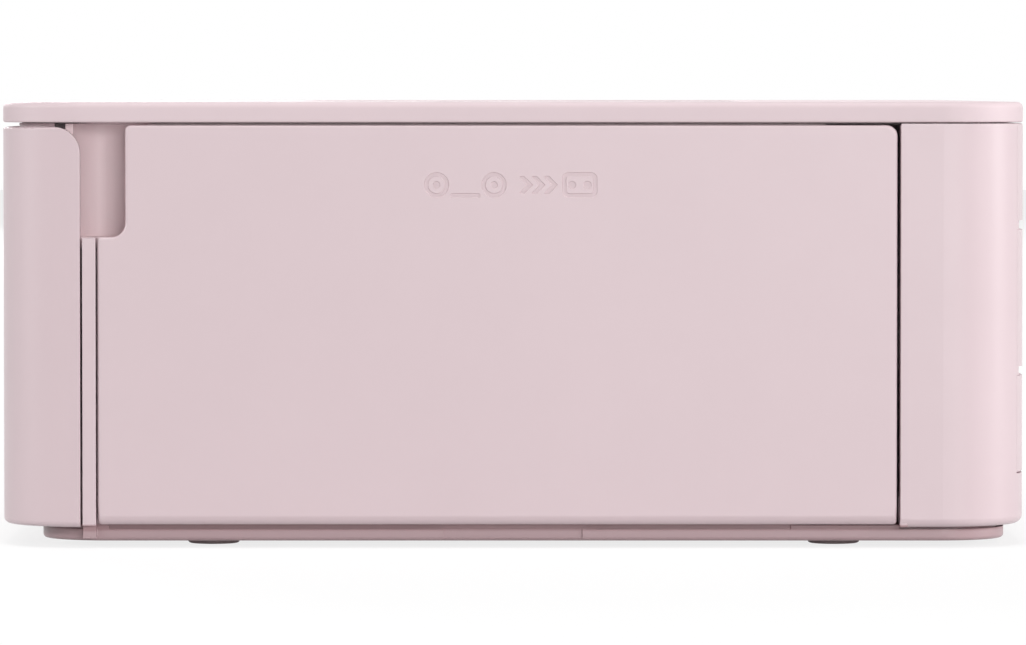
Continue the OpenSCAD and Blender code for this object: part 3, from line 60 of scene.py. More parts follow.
plastics = {
    "shellPink": {"color": (0.735, 0.592, 0.622), "rough": 0.36,
                  "grain": 0.05, "grainMm": 0.35, "spot": 0.02},
    "keyPink": {"color": (0.790, 0.665, 0.690), "rough": 0.38,
                "grain": 0.02, "grainMm": 0.3, "spot": 0.02},
    "casingPink": {"color": (0.735, 0.592, 0.622), "rough": 0.36,
                   "grain": 0.05, "grainMm": 0.35, "spot": 0.02,
                   # below the walls, set by height: painted shade on the tray and a darker painted shadow
                   # band along the seam
                   "trayShadeColor": (0.500, 0.350, 0.370), "seamShadowColor": (0.400, 0.245, 0.260),
                   "shadeStepMm": (2.1, 3.0)},
    "coverPink": {"color": (0.765, 0.622, 0.652), "rough": 0.52,
                  "grain": 0.05, "grainMm": 0.35, "spot": 0.02},
    # a lighter copy of the shell pink: painted light that brightens the shaded ink bay and finger recess
    "bayPinkLit": {"color": (0.840, 0.680, 0.700), "rough": 0.48,
                "grain": 0.06, "grainMm": 0.4, "spot": 0.02},
    "footRubber": {"color": (0.400, 0.315, 0.325), "rough": 0.75,
                   "grain": 0.15, "grainMm": 0.5, "spot": 0.05},
    "rollerRubber": {"color": (0.020, 0.020, 0.021), "rough": 0.70,
                     "grain": 0.12, "grainMm": 0.3, "spot": 0.05},
    "acetal": {"color": (0.800, 0.790, 0.740), "rough": 0.35,
               "grain": 0.03, "grainMm": 0.5, "spot": 0.03},
    "cassetteBlack": {"color": (0.018, 0.018, 0.020), "rough": 0.48,
                      "grain": 0.10, "grainMm": 0.4, "spot": 0.04},
    "windowGloss": {"color": (0.006, 0.006, 0.007), "rough": 0.06,
                    "grain": 0.0, "grainMm": 1.0, "spot": 0.0},
    "lcdGrey": {"color": (0.030, 0.034, 0.040), "rough": 0.25,
                "grain": 0.02, "grainMm": 1.0, "spot": 0.02},
    "ribbonFilm": {"color": (0.040, 0.034, 0.048), "rough": 0.18,
                   "grain": 0.02, "grainMm": 2.0, "spot": 0.05},
    "yellowFilm": {"color": (0.420, 0.330, 0.030), "rough": 0.22,
                   "grain": 0.02, "grainMm": 2.0, "spot": 0.05},
    "boardGreen": {"color": (0.016, 0.105, 0.050), "rough": 0.35,
                   "grain": 0.05, "grainMm": 0.6, "spot": 0.10},
    "markInk": {"color": (0.230, 0.180, 0.190), "rough": 0.50,
                "grain": 0.0, "grainMm": 1.0, "spot": 0.02},
    "headGlaze": {"color": (0.700, 0.665, 0.600), "rough": 0.15,
                  "grain": 0.0, "grainMm": 1.0, "spot": 0.02},
}

metals = {
    "zincSteel": {"color": (0.520, 0.530, 0.545), "rough": 0.38, "brushMm": 0.8},
    "sheetSteel": {"color": (0.480, 0.490, 0.500), "rough": 0.45, "brushMm": 1.6},
    "shaftSteel": {"color": (0.600, 0.605, 0.615), "rough": 0.22, "brushMm": 0.4},
    "sinkAlu": {"color": (0.760, 0.765, 0.780), "rough": 0.40, "brushMm": 1.0},
}

plasticLook = {"cloudMm": 18, "cloudDetail": 3, "glossMm": 4, "glossSpread": 0.05, "leastRough": 0.02,
               "detail": 2, "grainDeepMm": 0.05, "bandHalfMm": 0.15, "specular": 0.5}
metalLook = {"lengthwise": 0.05, "detail": 3, "smoother": 0.08, "rougher": 0.10, "bump": 0.08, "bumpMm": 0.05}


def newMaterial(name):
    # a Principled shader and the Object coordinates that every pattern reads
    material = bpy.data.materials.new(name)
    material.use_nodes = True
    tree = material.node_tree
    shader = tree.nodes["Principled BSDF"]
    coords = tree.nodes.new("ShaderNodeTexCoord")
    return material, tree, shader, coords


def noiseNode(tree, coords, sizeMm, detail, stretch=(1, 1, 1)):
    # noise over the Object coordinates: scale = 1 / size of a blotch, in metres
    mapping = tree.nodes.new("ShaderNodeMapping")
    mapping.inputs["Scale"].default_value = stretch
    noise = tree.nodes.new("ShaderNodeTexNoise")
    noise.inputs["Scale"].default_value = 1 / (sizeMm * mm)
    noise.inputs["Detail"].default_value = detail
    tree.links.new(coords.outputs["Object"], mapping.inputs["Vector"])
    tree.links.new(mapping.outputs["Vector"], noise.inputs["Vector"])
    return noise


def plasticMaterial(name, kind):
    # moulded plastic: colour times 1 -+ spot in clouds, roughness -+ spread, and a fine spark-eroded grain
    look = plasticLook
    material, tree, shader, coords = newMaterial(name)
    color = np.array(kind["color"])
    cloud = noiseNode(tree, coords, look["cloudMm"], look["cloudDetail"])
    mix = tree.nodes.new("ShaderNodeMix")
    mix.data_type = "RGBA"
    mix.inputs["A"].default_value = (*(color * (1 - kind["spot"])), 1)
    mix.inputs["B"].default_value = (*np.minimum(color * (1 + kind["spot"]), 1), 1)
    tree.links.new(cloud.outputs["Fac"], mix.inputs["Factor"])
    tree.links.new(mix.outputs["Result"], shader.inputs["Base Color"])
    if "trayShadeColor" in kind:
        # by height: the tray below in a painted shade, a darker painted shadow band along the seam between
        # tray and walls, and the walls above in the plain colour
        split = tree.nodes.new("ShaderNodeSeparateXYZ")
        tree.links.new(coords.outputs["Object"], split.inputs["Vector"])
        below = (*kind["trayShadeColor"], 1)
        for height, above in zip(kind["shadeStepMm"], ((*kind["seamShadowColor"], 1), mix.outputs["Result"])):
            rise = tree.nodes.new("ShaderNodeMapRange")
            rise.inputs["From Min"].default_value = (height - look["bandHalfMm"]) * mm
            rise.inputs["From Max"].default_value = (height + look["bandHalfMm"]) * mm
            band = tree.nodes.new("ShaderNodeMix")
            band.data_type = "RGBA"
            tree.links.new(split.outputs["Z"], rise.inputs["Value"])
            tree.links.new(rise.outputs["Result"], band.inputs["Factor"])
            for socket, value in (("A", below), ("B", above)):
                if isinstance(value, tuple):
                    band.inputs[socket].default_value = value
                else:
                    tree.links.new(value, band.inputs[socket])
            below = band.outputs["Result"]
        tree.links.new(below, shader.inputs["Base Color"])
    gloss = noiseNode(tree, coords, look["glossMm"], look["detail"])
    spread = tree.nodes.new("ShaderNodeMapRange")
    spread.inputs["To Min"].default_value = max(kind["rough"] - look["glossSpread"], look["leastRough"])
    spread.inputs["To Max"].default_value = kind["rough"] + look["glossSpread"]
    tree.links.new(gloss.outputs["Fac"], spread.inputs["Value"])
    tree.links.new(spread.outputs["Result"], shader.inputs["Roughness"])
    shader.inputs["Specular IOR Level"].default_value = look["specular"]
    if kind["grain"] > 0:
        grain = noiseNode(tree, coords, kind["grainMm"], look["detail"])
        bump = tree.nodes.new("ShaderNodeBump")
        bump.inputs["Strength"].default_value = kind["grain"]
        bump.inputs["Distance"].default_value = look["grainDeepMm"] * mm
        tree.links.new(grain.outputs["Fac"], bump.inputs["Height"])
        tree.links.new(bump.outputs["Normal"], shader.inputs["Normal"])
    return material


def metalMaterial(name, kind):
    # rolled or turned metal: noise drawn out along X gives fine lines and roughness -+ a spread
    look = metalLook
    material, tree, shader, coords = newMaterial(name)
    shader.inputs["Metallic"].default_value = 1
    shader.inputs["Base Color"].default_value = (*kind["color"], 1)
    lines = noiseNode(tree, coords, kind["brushMm"], look["detail"], (look["lengthwise"], 1, 1))
    spread = tree.nodes.new("ShaderNodeMapRange")
    spread.inputs["To Min"].default_value = kind["rough"] - look["smoother"]
    spread.inputs["To Max"].default_value = kind["rough"] + look["rougher"]
    tree.links.new(lines.outputs["Fac"], spread.inputs["Value"])
    tree.links.new(spread.outputs["Result"], shader.inputs["Roughness"])
    bump = tree.nodes.new("ShaderNodeBump")
    bump.inputs["Strength"].default_value = look["bump"]
    bump.inputs["Distance"].default_value = look["bumpMm"] * mm
    tree.links.new(lines.outputs["Fac"], bump.inputs["Height"])
    tree.links.new(bump.outputs["Normal"], shader.inputs["Normal"])
    return material


materials = {name: plasticMaterial(name, kind) for name, kind in plastics.items()}
materials.update({name: metalMaterial(name, kind) for name, kind in metals.items()})

slotMaterials = {
    "shell_pink": "shellPink", "key_pink": "keyPink", "inner_pink": "casingPink",
    "foot_rubber": "footRubber", "roller_rubber": "rollerRubber", "zinc_steel": "zincSteel",
    "sheet_steel": "sheetSteel", "shaft_steel": "shaftSteel", "window": "windowGloss",
    "lcd": "lcdGrey", "board_green": "boardGreen", "acetal": "acetal",
    "cassette_black": "cassetteBlack", "ink_ribbon": "ribbonFilm", "ink_yellow": "yellowFilm",
    "glazed_head": "headGlaze", "sink_alu": "sinkAlu",
}
# the ink bay frame gets the lighter pink, painted light for its shaded recess
ownMaterials = {"ink_bay_frame": "bayPinkLit"}
print("stage: materials made,", len(materials))


# Mesh building, in millimetres

def roundedLoop(corners, radii=0, steps=8):
    # each corner becomes an arc: its centre lies on the bisector at radius / sin(half angle)
    p = np.array(corners, float)
    r = np.broadcast_to(np.asarray(radii, float), len(p))
    toPrev = np.roll(p, 1, 0) - p
    toNext = np.roll(p, -1, 0) - p
    toPrev /= np.linalg.norm(toPrev, axis=1)[:, None]
    toNext /= np.linalg.norm(toNext, axis=1)[:, None]
    half = np.arccos(np.clip((toPrev * toNext).sum(1), -1, 1)) / 2
    bisector = toPrev + toNext
    bisector /= np.maximum(np.linalg.norm(bisector, axis=1), 1e-9)[:, None]
    centre = p + bisector * (r / np.sin(half))[:, None]
    start = p + toPrev * (r / np.tan(half))[:, None] - centre
    end = p + toNext * (r / np.tan(half))[:, None] - centre
    a0 = np.arctan2(start[:, 1], start[:, 0])
    turn = (np.arctan2(end[:, 1], end[:, 0]) - a0 + np.pi) % (2 * np.pi) - np.pi
    angle = a0[:, None] + turn[:, None] * np.linspace(0, 1, steps + 1)
    loop = centre[:, None] + r[:, None, None] * np.stack([np.cos(angle), np.sin(angle)], -1)
    loop = loop.reshape(-1, 2)
    return loop[np.linalg.norm(loop - np.roll(loop, 1, 0), axis=1) > 1e-5]


def circleLoop(at, radius, steps=48):
    # points at equal angles on a circle
    a = np.linspace(0, 2 * np.pi, steps, endpoint=False)
    return np.array(at, float) + radius * np.stack([np.cos(a), np.sin(a)], -1)


def boxLoop(x0, x1, y0, y1, radius=0, steps=6):
    # a rectangle with arcs at its corners
    return roundedLoop([(x0, y0), (x1, y0), (x1, y1), (x0, y1)], radius, steps)


def insetLoop(loop, distance):
    # every point moves along the mean of its two edge normals, lengthened so that the edges move evenly
    ahead = np.roll(loop, -1, 0) - loop
    ahead /= np.linalg.norm(ahead, axis=1)[:, None]
    normal = np.stack([-ahead[:, 1], ahead[:, 0]], -1)
    mean = normal + np.roll(normal, 1, 0)
    mean /= np.maximum((mean * mean).sum(1) / 2, 0.3)[:, None]
    return loop + mean * np.reshape(distance, (-1, 1))


def roundEdge(up, radius, side, steps=5):
    # a quarter round: inset = radius (1 - sin a), up = edge -+ radius (1 - cos a), from the wall to the cap
    a = np.linspace(np.pi / 2, 0, steps + 1)
    insets = radius * (1 - np.sin(a))
    ups = up - side * radius * (1 - np.cos(a))
    return list(zip(insets, ups))


def easedEdge(up, out, way, size, middle):
    # a corner cut by two chamfers: its points lie (size, 0), (middle, middle) and (0, size) from the corner
    return [(out * size, up), (out * middle, up + way * middle), (0, up + way * size)]


class Build:
    # collects rings of points, the quads between them and the caps over them
    def __init__(self):
        self.points = []
        self.faces = []
        self.count = 0

    def ring(self, loop, up):
        # the loop's points at one height, and their numbers
        self.points.append(np.column_stack([loop, np.broadcast_to(up, len(loop))]))
        first = self.count
        self.count += len(loop)
        return np.arange(first, self.count)

    def wall(self, loop, profile):
        # carries a profile of (inset, up) along a closed path and returns its first and last rings
        rings = [self.ring(insetLoop(loop, inset), up) for inset, up in profile]
        self.quads(rings)
        return rings[0], rings[-1]

    def quads(self, rings):
        # four-sided faces between each ring and the next
        for low, high in zip(rings, rings[1:]):
            self.faces += np.column_stack([low, np.roll(low, -1), np.roll(high, -1), high]).tolist()

    def cap(self, rings):
        # Delaunay triangles over closed rings; a triangle stays where a ray from its middle
        # crosses the rings an odd number of times, so holes and islands come out right
        ids = np.concatenate(rings)
        spots = np.vstack(self.points)[ids, :2]
        ahead = np.concatenate([np.roll(np.arange(len(r)), -1) + start
                                for r, start in zip(rings, np.cumsum([0] + [len(r) for r in rings]))])
        edges = np.column_stack([np.arange(len(ids)), ahead])
        out = delaunay_2d_cdt([Vector(p) for p in spots.tolist()], edges.tolist(), [], 0, 1e-7)
        faces = np.array([[out[3][i][0] for i in face] for face in out[2]])
        middle = spots[faces].mean(1)[:, None]
        a, b = spots, spots[ahead]
        spans = (a[:, 1] > middle[..., 1]) != (b[:, 1] > middle[..., 1])
        slope = (b[:, 0] - a[:, 0]) / np.where(a[:, 1] == b[:, 1], 1, b[:, 1] - a[:, 1])
        right = middle[..., 0] < a[:, 0] + slope * (middle[..., 1] - a[:, 1])
        odd = (spans & right).sum(1) % 2 == 1
        self.faces += ids[faces[odd]].tolist()

    def prism(self, loops, low, high, lowRound=0.2, highRound=0.2):
        # a plate with holes: every loop gets a wall with rounded ends, and both ends are capped
        profile = roundEdge(low, lowRound, -1)[::-1] + roundEdge(high, highRound, 1)
        ends = [self.wall(loop, profile) for loop in loops]
        self.cap([first for first, last in ends])
        self.cap([last for first, last in ends])

    def mesh(self, name, axes="xyz", sharp=38):
        # loop, loop and up become the named axes; doubles merge, faces turn outward, sharp edges stay sharp
        flat = np.vstack(self.points) * mm
        spots = np.empty_like(flat)
        spots[:, ["xyz".index(axis) for axis in axes]] = flat
        mesh = bpy.data.meshes.new(name)
        mesh.from_pydata(spots, [], self.faces)
        bm = bmesh.new()
        bm.from_mesh(mesh)
        bmesh.ops.remove_doubles(bm, verts=bm.verts, dist=1e-7)
        bmesh.ops.recalc_face_normals(bm, faces=bm.faces)
        bm.to_mesh(mesh)
        bm.free()
        mesh.shade_smooth()
        mesh.set_sharp_from_angle(angle=math.radians(sharp))
        return mesh


def addPiece(name, mesh, body, material, slot, *stands):
    # a finished piece at the origin that rides on a body and may stand for CAD nodes
    obj = bpy.data.objects.new(name, mesh)
    bpy.context.scene.collection.objects.link(obj)
    mesh.materials.append(materials[material])
    normals = obj.modifiers.new("normals", "WEIGHTED_NORMAL")
    normals.keep_sharp = True
    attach(obj, body)
    if stands:
        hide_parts(*stands)
    print("piece:", name, len(mesh.polygons), "faces")


def boxOf(name):
    # a node's corners in millimetres
    low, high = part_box(name)
    return np.array(low) / mm, np.array(high) / mm


def roundStrip(build, x, y, z, edge):
    # a bar with rounded ends: a rectangle in the first two axes, with corners of 1.5 edge but at most 0.4,
    # carried along the third
    build.prism([boxLoop(*x, *y, min(edge * 1.5, 0.4), 4)], z[0], z[1], edge, edge)


# Ink door: outline in Y and Z, thickness along X

inkDoor = {
    "thick": 2.2, "edge": 0.35, "lowEdge": 1.25, "lowFade": 2.5, "backEdge": (0.25, 0.07),
    "tailReach": 0.08, "tailCorner": 1.4, "headCorner": 0.7, "postCorner": 0.45,
    "notchY": 3.61, "notchZ": 37.15, "notchRound": 1.85,
    "hingeIn": (2.6, 7), "barrelR": 1.4, "pinR": 0.75,
    "lugAt": (1, 6), "lugTop": 2.7, "clear": 0.2, "lowBarrelTop": 6.5, "highBarrel": 4, "topGap": 0.3,
    "hook": {"outline": ((0.2, 17), (0.2, 18.8), (-1.6, 18.8), (-2.4, 19.6), (-4, 19.6), (-4, 17)),
             "along": (17.6, 23.6), "round": 0.2, "edge": 0.1},
}
doorRibs = {"deep": 1.4, "wide": 1.2, "root": 0.1, "edge": 0.15, "rows": (10, 27, 44), "rowEnds": (9, 7),
            "frontPost": 14, "middlePost": -8, "rearPost": 8, "postSpan": (10, 45.15)}
doorMark = {
    "at": (53.3, 43.9), "depth": 0.16, "lip": 0.05, "taper": 0.04,
    "spools": (-9.55, -2.15), "spoolR": 1.6, "holeR": 1.1, "dotR": 0.45, "film": (-7.75, -3.95),
    "arrows": (1.6, 3.2, 4.8), "arrow": 1.1, "stroke": 0.5, "slant": 1.4,
    "slot": (((6.65, 11.15), 1.6, 0.8), ((7.15, 10.65), 1.1, 0.4)), "wheels": (7.9, 9.9), "wheelR": 0.5,
}


def doorMarks(u0, v0):
    # a film cartridge being slid in: a ring and a dot for each spool, a bar for the film, three arrow heads
    # of two slanted strokes, and the printer's slot as a rounded frame with two wheels
    kind = doorMark
    loops = []
    for u in kind["spools"]:
        loops.append([circleLoop((u0 + u, v0), kind["spoolR"]), circleLoop((u0 + u, v0), kind["holeR"])])
        loops.append([circleLoop((u0 + u, v0), kind["dotR"], 24)])
    left, right = kind["film"]
    loops.append([boxLoop(u0 + left, u0 + right, v0 - kind["spoolR"], v0 - kind["holeR"], 0.15, 3)])
    reach = kind["arrow"]
    thick = kind["stroke"] * kind["slant"]
    for u in kind["arrows"]:
        back, tip = u0 + u - reach / 2, u0 + u + reach / 2
        corners = [(back, v0 - reach), (back + thick, v0 - reach), (tip + thick, v0),
                   (back + thick, v0 + reach), (back, v0 + reach), (tip, v0)]
        loops.append([roundedLoop(corners, 0.08, 3)])
    slot = []
    for (left, right), half, corner in kind["slot"]:
        slot.append(boxLoop(u0 + left, u0 + right, v0 - half, v0 + half, corner))
    loops.append(slot)
    for u in kind["wheels"]:
        loops.append([circleLoop((u0 + u, v0), kind["wheelR"], 24)])
    return loops


def makeInkDoor():
    # the stepped outline carried along X; the outer edge is a quarter round of radius edge + extra * share
    kind = inkDoor
    low, high = boxOf("ink_door")
    y0, z0, y1, z1 = low[1], low[2], high[1] + kind["tailReach"], high[2]
    x1 = high[0]
    x0 = x1 - kind["thick"]
    notchY, notchZ = y0 + kind["notchY"], z0 + kind["notchZ"]
    fade = z0 + kind["lowFade"]
    corners = [(y0, z0), (y1, z0), (y1, fade), (y1, z1),
               (notchY, z1), (notchY, notchZ), (y0, notchZ), (y0, fade)]
    post = kind["postCorner"]
    radii = [post, post, 0, kind["tailCorner"], kind["headCorner"], kind["notchRound"], post, 0]
    outline = roundedLoop(corners, radii, 10)
    # the lower edge has a larger round, which fades out over the first millimetres of the sides
    share = np.clip(1 - (outline[:, 1] - z0) / kind["lowFade"], 0, 1)
    extra = kind["lowEdge"] - kind["edge"]
    edge = kind["edge"] + extra * share
    build = Build()
    back, flank = build.wall(outline, easedEdge(x0, 1, 1, *kind["backEdge"]) + [(0, x1 - kind["lowEdge"])])
    rings = [flank]
    for a in np.linspace(0, np.pi / 2, 9):
        loop = insetLoop(outline, kind["edge"] * (1 - np.cos(a)))
        loop[:, 1] += extra * share * (1 - np.cos(a))
        rings.append(build.ring(loop, x1 - edge * (1 - np.sin(a))))
    build.quads(rings)
    build.cap([back])
    mark = doorMark
    floor = x1 - mark["depth"]
    faceRings = [rings[-1]]
    markY, markZ = mark["at"]
    for group in doorMarks(y0 + markY, z0 + markZ):
        ends = []
        for loop, out in zip(group, (1, -1)):
            profile = [(-mark["lip"] * out, x1), (0, x1 - mark["lip"]), (mark["taper"] * out, floor)]
            ends.append(build.wall(loop, profile))
        faceRings += [first for first, last in ends]
        build.cap([last for first, last in ends])
    build.cap(faceRings)
    return build, (x0, x1, y0, y1, z0, z1)


def doorBack(build, x0, y0, hingeY):
    # three ribs along and three up on the inner face, measured from the front edge and the hinge line
    kind = doorRibs
    wide = kind["wide"]
    rib = (x0 - kind["deep"], x0 + kind["root"])
    front, rear = kind["rowEnds"]
    for z in kind["rows"]:
        roundStrip(build, (y0 + front, hingeY - rear), (z, z + wide), rib, edge=kind["edge"])
    for y in (y0 + kind["frontPost"], kind["middlePost"], hingeY - kind["rearPost"]):
        roundStrip(build, (y, y + wide), kind["postSpan"], rib, edge=kind["edge"])


def hingeKnuckles(x, y, z0, z1):
    # turned pieces on the hinge line: a barrel below and above each lug of the housing, and a pin through it
    kind = inkDoor
    clear = kind["clear"]
    lowLug, highLug = z0 + kind["lugAt"][0], z1 - kind["lugAt"][1]
    spans = [(z0 + clear, lowLug - clear), (lowLug + kind["lugTop"], lowLug + kind["lowBarrelTop"]),
             (highLug - kind["highBarrel"], highLug - clear), (highLug + kind["lugTop"], z1 - kind["topGap"])]
    pins = [(spans[0][0], spans[1][1]), (spans[2][0], spans[3][1])]
    build = Build()
    for low, high in spans:
        build.prism([circleLoop((x, y), kind["barrelR"], 40)], low, high, 0.15, 0.15)
    for low, high in pins:
        build.prism([circleLoop((x, y), kind["pinR"], 28)], low, high, 0.05, 0.05)
    return build


def makeDoorPieces():
    # panel with ribs, knuckles on the hinge line, and the latch hook as an outline in X and Z along Y
    build, (x0, x1, y0, y1, z0, z1) = makeInkDoor()
    inX, inY = inkDoor["hingeIn"]
    hingeX, hingeY = x1 - inX, y1 - inkDoor["tailReach"] - inY
    doorBack(build, x0, y0, hingeY)
    panel = build.mesh("ink_door_panel", "yzx")
    addPiece("ink_door_panel", panel, "ink_door", "shellPink", "shell_pink", "ink_door")
    knuckles = hingeKnuckles(hingeX, hingeY, z0, z1)
    addPiece("ink_door_knuckles", knuckles.mesh("ink_door_knuckles"), "ink_door", "shellPink", "shell_pink")
    cut = inkDoor["hook"]
    outline = roundedLoop([(x0 + x, z) for x, z in cut["outline"]], cut["round"], 3)
    front, rear = cut["along"]
    hook = Build()
    hook.prism([outline], y0 + front, y0 + rear, cut["edge"], cut["edge"])
    addPiece("ink_door_hook", hook.mesh("ink_door_hook", "xzy"), "ink_door", "shellPink", "shell_pink")


# End of the ink bay: walls and ribs seen through the gaps round the door and under the cover

bayEnd = {
    "deep": 8.4, "setBack": 0.2, "wall": 1.0, "gap": 0.5, "below": 0.3, "edge": 0.12,
    "sill": 0.9, "sillLength": 13.6, "sillBack": 2.9, "sillDown": 0.15, "sillOverlap": 0.2,
    "rib": {"x": (-8.6, -6.1), "z": (0.06, 0.42), "ends": (2.6, 0.3)},
    "frontRib": {"x": (-8.4, -6.9), "y": (-8.4, -3.8), "z": (-2.2, 0.25)},
    "skirt": {"inset": 3.4, "frontInset": 5.6, "wall": 1.0, "z": (1.6, 2.9), "corner": 6.4},
}


def makeBayEnd():
    # bars set off from the corners of the ink door's box, and a ring set in from the cover's outline
    kind = bayEnd
    low, high = boxOf("ink_door")
    x0, x1 = high[0] - kind["setBack"] - kind["deep"], high[0] - kind["setBack"]
    y1 = high[1] + kind["gap"]
    build = Build()
    roundStrip(build, (x0, x1), (y1, y1 + kind["wall"]), (low[2] - kind["below"], high[2]), edge=kind["edge"])
    sillX = high[0] - kind["sillBack"]
    sillTop = low[2] - kind["sillDown"]
    sillY = (high[1] - kind["sillLength"], y1 + kind["sillOverlap"])
    roundStrip(build, (x0, sillX), sillY, (sillTop - kind["sill"], sillTop), edge=kind["edge"])
    # ribs that close the slit under the cover
    front, rear = kind["rib"]["ends"]
    ribY = (low[1] - front, y1 + rear)
    frontRibY = low[1] + np.array(kind["frontRib"]["y"])
    for rib, y in ((kind["rib"], ribY), (kind["frontRib"], frontRibY)):
        roundStrip(build, high[0] + np.array(rib["x"]), y, high[2] + np.array(rib["z"]), edge=0.1)
    # skirt behind the seam between the walls and the tray
    coverLow, coverHigh = boxOf("top_cover")
    skirt = kind["skirt"]
    plan = boxLoop(coverLow[0] + skirt["inset"], coverHigh[0] - skirt["inset"],
                   coverLow[1] + skirt["frontInset"], coverHigh[1] - skirt["inset"], skirt["corner"], 12)
    build.prism([plan, insetLoop(plan, skirt["wall"])], *skirt["z"], 0.1, 0.1)
    addPiece("ink_bay_end", build.mesh("ink_bay_end"), "housing", "casingPink", "shell_pink")


# Top cover: plan in X and Y, height along Z

topCover = {
    "round": 0.8, "lowRound": 0.25, "corner": 11, "rim": 4, "height": 2.65, "plate": 2.2,
    "windowCentre": (-6, 2), "window": (86, 62), "windowRound": 3, "windowDeep": 1.3,
    "windowEdge": (0.2, 0.06), "ledge": 4, "openingRound": 2, "keyGap": 0.3, "keyEdge": (0.25, 0.07),
    "posts": ((-81, -45), (-62, 36), (74, 36), (46, -45), (-61, -24), (46, 36)), "postR": 2.4,
}
keyPlaces = {
    "button_power": ((-70, 19), 8), "button_edit": ((-70, 2), 8), "button_menu": ((-70, -15), 8),
    "button_zoom_out": ((50, 21), 8), "button_zoom_in": ((72, 21), 8), "button_up": ((61, 7), 8),
    "button_down": ((61, -19), 8), "button_left": ((48, -6), 8), "button_right": ((74, -6), 8),
    "button_ok": ((61, -6), 12), "button_back": ((49, -33), 8), "button_print": ((71, -36), 14),
}


def makeTopCover():
    # the plan carried along a profile with quarter rounds, open below, with a pocket for the window,
    # an opening through it and a hole with an eased edge for each button
    kind = topCover
    low, high = boxOf("top_cover")
    z1 = high[2]
    z0 = z1 - kind["height"]
    under = z1 - kind["plate"]
    plan = boxLoop(low[0], high[0], low[1], high[1], kind["corner"], 16)
    build = Build()
    outside = roundEdge(z0, kind["lowRound"], -1, 3)[::-1] + roundEdge(z1, kind["round"], 1, 9)
    bottom, top = build.wall(plan, outside)
    step, inner = build.wall(plan, [(kind["rim"], z0), (kind["rim"], under)])
    build.cap([bottom, step])
    (cx, cy), (w, d), ledge = kind["windowCentre"], kind["window"], kind["ledge"]
    pocket = boxLoop(cx - w / 2, cx + w / 2, cy - d / 2, cy + d / 2, kind["windowRound"], 8)
    ledgeZ = z1 - kind["windowDeep"]
    pocketTop, pocketLow = build.wall(pocket, easedEdge(z1, -1, -1, *kind["windowEdge"]) + [(0, ledgeZ)])
    opening = boxLoop(cx - w / 2 + ledge, cx + w / 2 - ledge, cy - d / 2 + ledge, cy + d / 2 - ledge,
                      kind["openingRound"], 6)
    openTop, openLow = build.wall(opening, [(0, ledgeZ), (0, under)])
    build.cap([pocketLow, openTop])
    topRings, lowRings = [top, pocketTop], [inner, openLow]
    for at, size in keyPlaces.values():
        hole = circleLoop(at, size / 2 + kind["keyGap"], 64)
        mouth, tail = build.wall(hole, easedEdge(z1, -1, -1, *kind["keyEdge"]) + [(0, under)])
        topRings.append(mouth)
        lowRings.append(tail)
    build.cap(topRings)
    build.cap(lowRings)
    for at in kind["posts"]:
        build.prism([circleLoop(at, kind["postR"], 32)], low[2], under + 0.1, 0.1, 0.05)
    addPiece("cover_shell", build.mesh("cover_shell"), "housing", "coverPink", "shell_pink", "top_cover")


# Buttons: turned discs with a shallow dish and a printed mark

buttonCut = {"dish": 0.3, "edge": 0.35, "flange": 0.8, "flangeDeep": 0.7, "flangeDown": 2.85, "footR": 1.2,
             "ease": 0.1, "rings": 10, "middle": 0.4, "markLift": 0.03, "markDeep": 0.35}


def dishHeight(kind, z1, radius, r):
    # the dish is part of a parabola: deepest in the middle and zero where the edge's round starts
    share = np.minimum(r / (radius - kind["edge"]), 1)
    return z1 - kind["dish"] * (1 - share ** 2)


def makeButton(name, at, size, marks):
    # a circle carried along a profile of foot, flange, quarter-round edge and parabolic dish
    kind = buttonCut
    low, high = boxOf(name)
    z1 = high[2]
    radius = size / 2
    flange, ease = kind["flange"], kind["ease"]
    flangeLow = z1 - kind["flangeDown"]
    flangeTop = flangeLow + kind["flangeDeep"]
    foot = flange + radius - kind["footR"]
    profile = [(foot, low[2]), (foot, flangeLow), (ease, flangeLow), (0, flangeLow + ease),
               (0, flangeTop - ease), (ease, flangeTop), (flange, flangeTop)]
    for a in np.linspace(0, np.pi / 2, 7):
        profile.append((flange + kind["edge"] * (1 - np.cos(a)), z1 - kind["edge"] * (1 - np.sin(a))))
    for r in np.linspace(radius - kind["edge"], kind["middle"], kind["rings"])[1:]:
        profile.append((flange + radius - r, dishHeight(kind, z1, radius, r)))
    build = Build()
    bottom, centre = build.wall(circleLoop(at, radius + flange, 64), profile)
    build.cap([bottom])
    build.cap([centre])
    addPiece(name + "_cap", build.mesh(name + "_cap"), name, "keyPink", "key_pink", name)
    ink = Build()
    for group in marks:
        loops = [loop + at for loop in group]
        reach = max(np.hypot(*(loop - at).T).max() for loop in loops)
        top = dishHeight(kind, z1, radius, reach) + kind["markLift"]
        ink.prism(loops, top - kind["markDeep"], top, 0.0, 0.0)
    addPiece(name + "_mark", ink.mesh(name + "_mark"), name, "markInk", "key_pink")


def arrowMark(turn, size=1.5):
    # an equilateral triangle with its tip at the given angle
    a = np.radians(turn + np.array([0, 120, 240]))
    return [[roundedLoop(size * np.stack([np.cos(a), np.sin(a)], -1), 0.2, 4)]]


def arcBand(r0, r1, start, end, steps=24):
    # a band between two circles and two angles
    a = np.radians(np.linspace(start, end, steps))
    outer = r1 * np.stack([np.cos(a), np.sin(a)], -1)
    inner = r0 * np.stack([np.cos(a), np.sin(a)], -1)[::-1]
    return np.vstack([outer, inner])


def bar(w, h, x=0, y=0):
    # a rectangle round (x, y) with arcs at its corners
    return boxLoop(x - w / 2, x + w / 2, y - h / 2, y + h / 2, min(w, h) * 0.4, 4)


def plusLoop(reach, half):
    # three corners of one arm, turned by 0, 90, 180 and 270 degrees
    arm = np.array([(-half, -reach), (half, -reach), (half, -half)])
    quarter = np.array([[0, 1], [-1, 0]])
    return roundedLoop(np.vstack([arm @ np.linalg.matrix_power(quarter, turn) for turn in range(4)]), 0.05, 2)


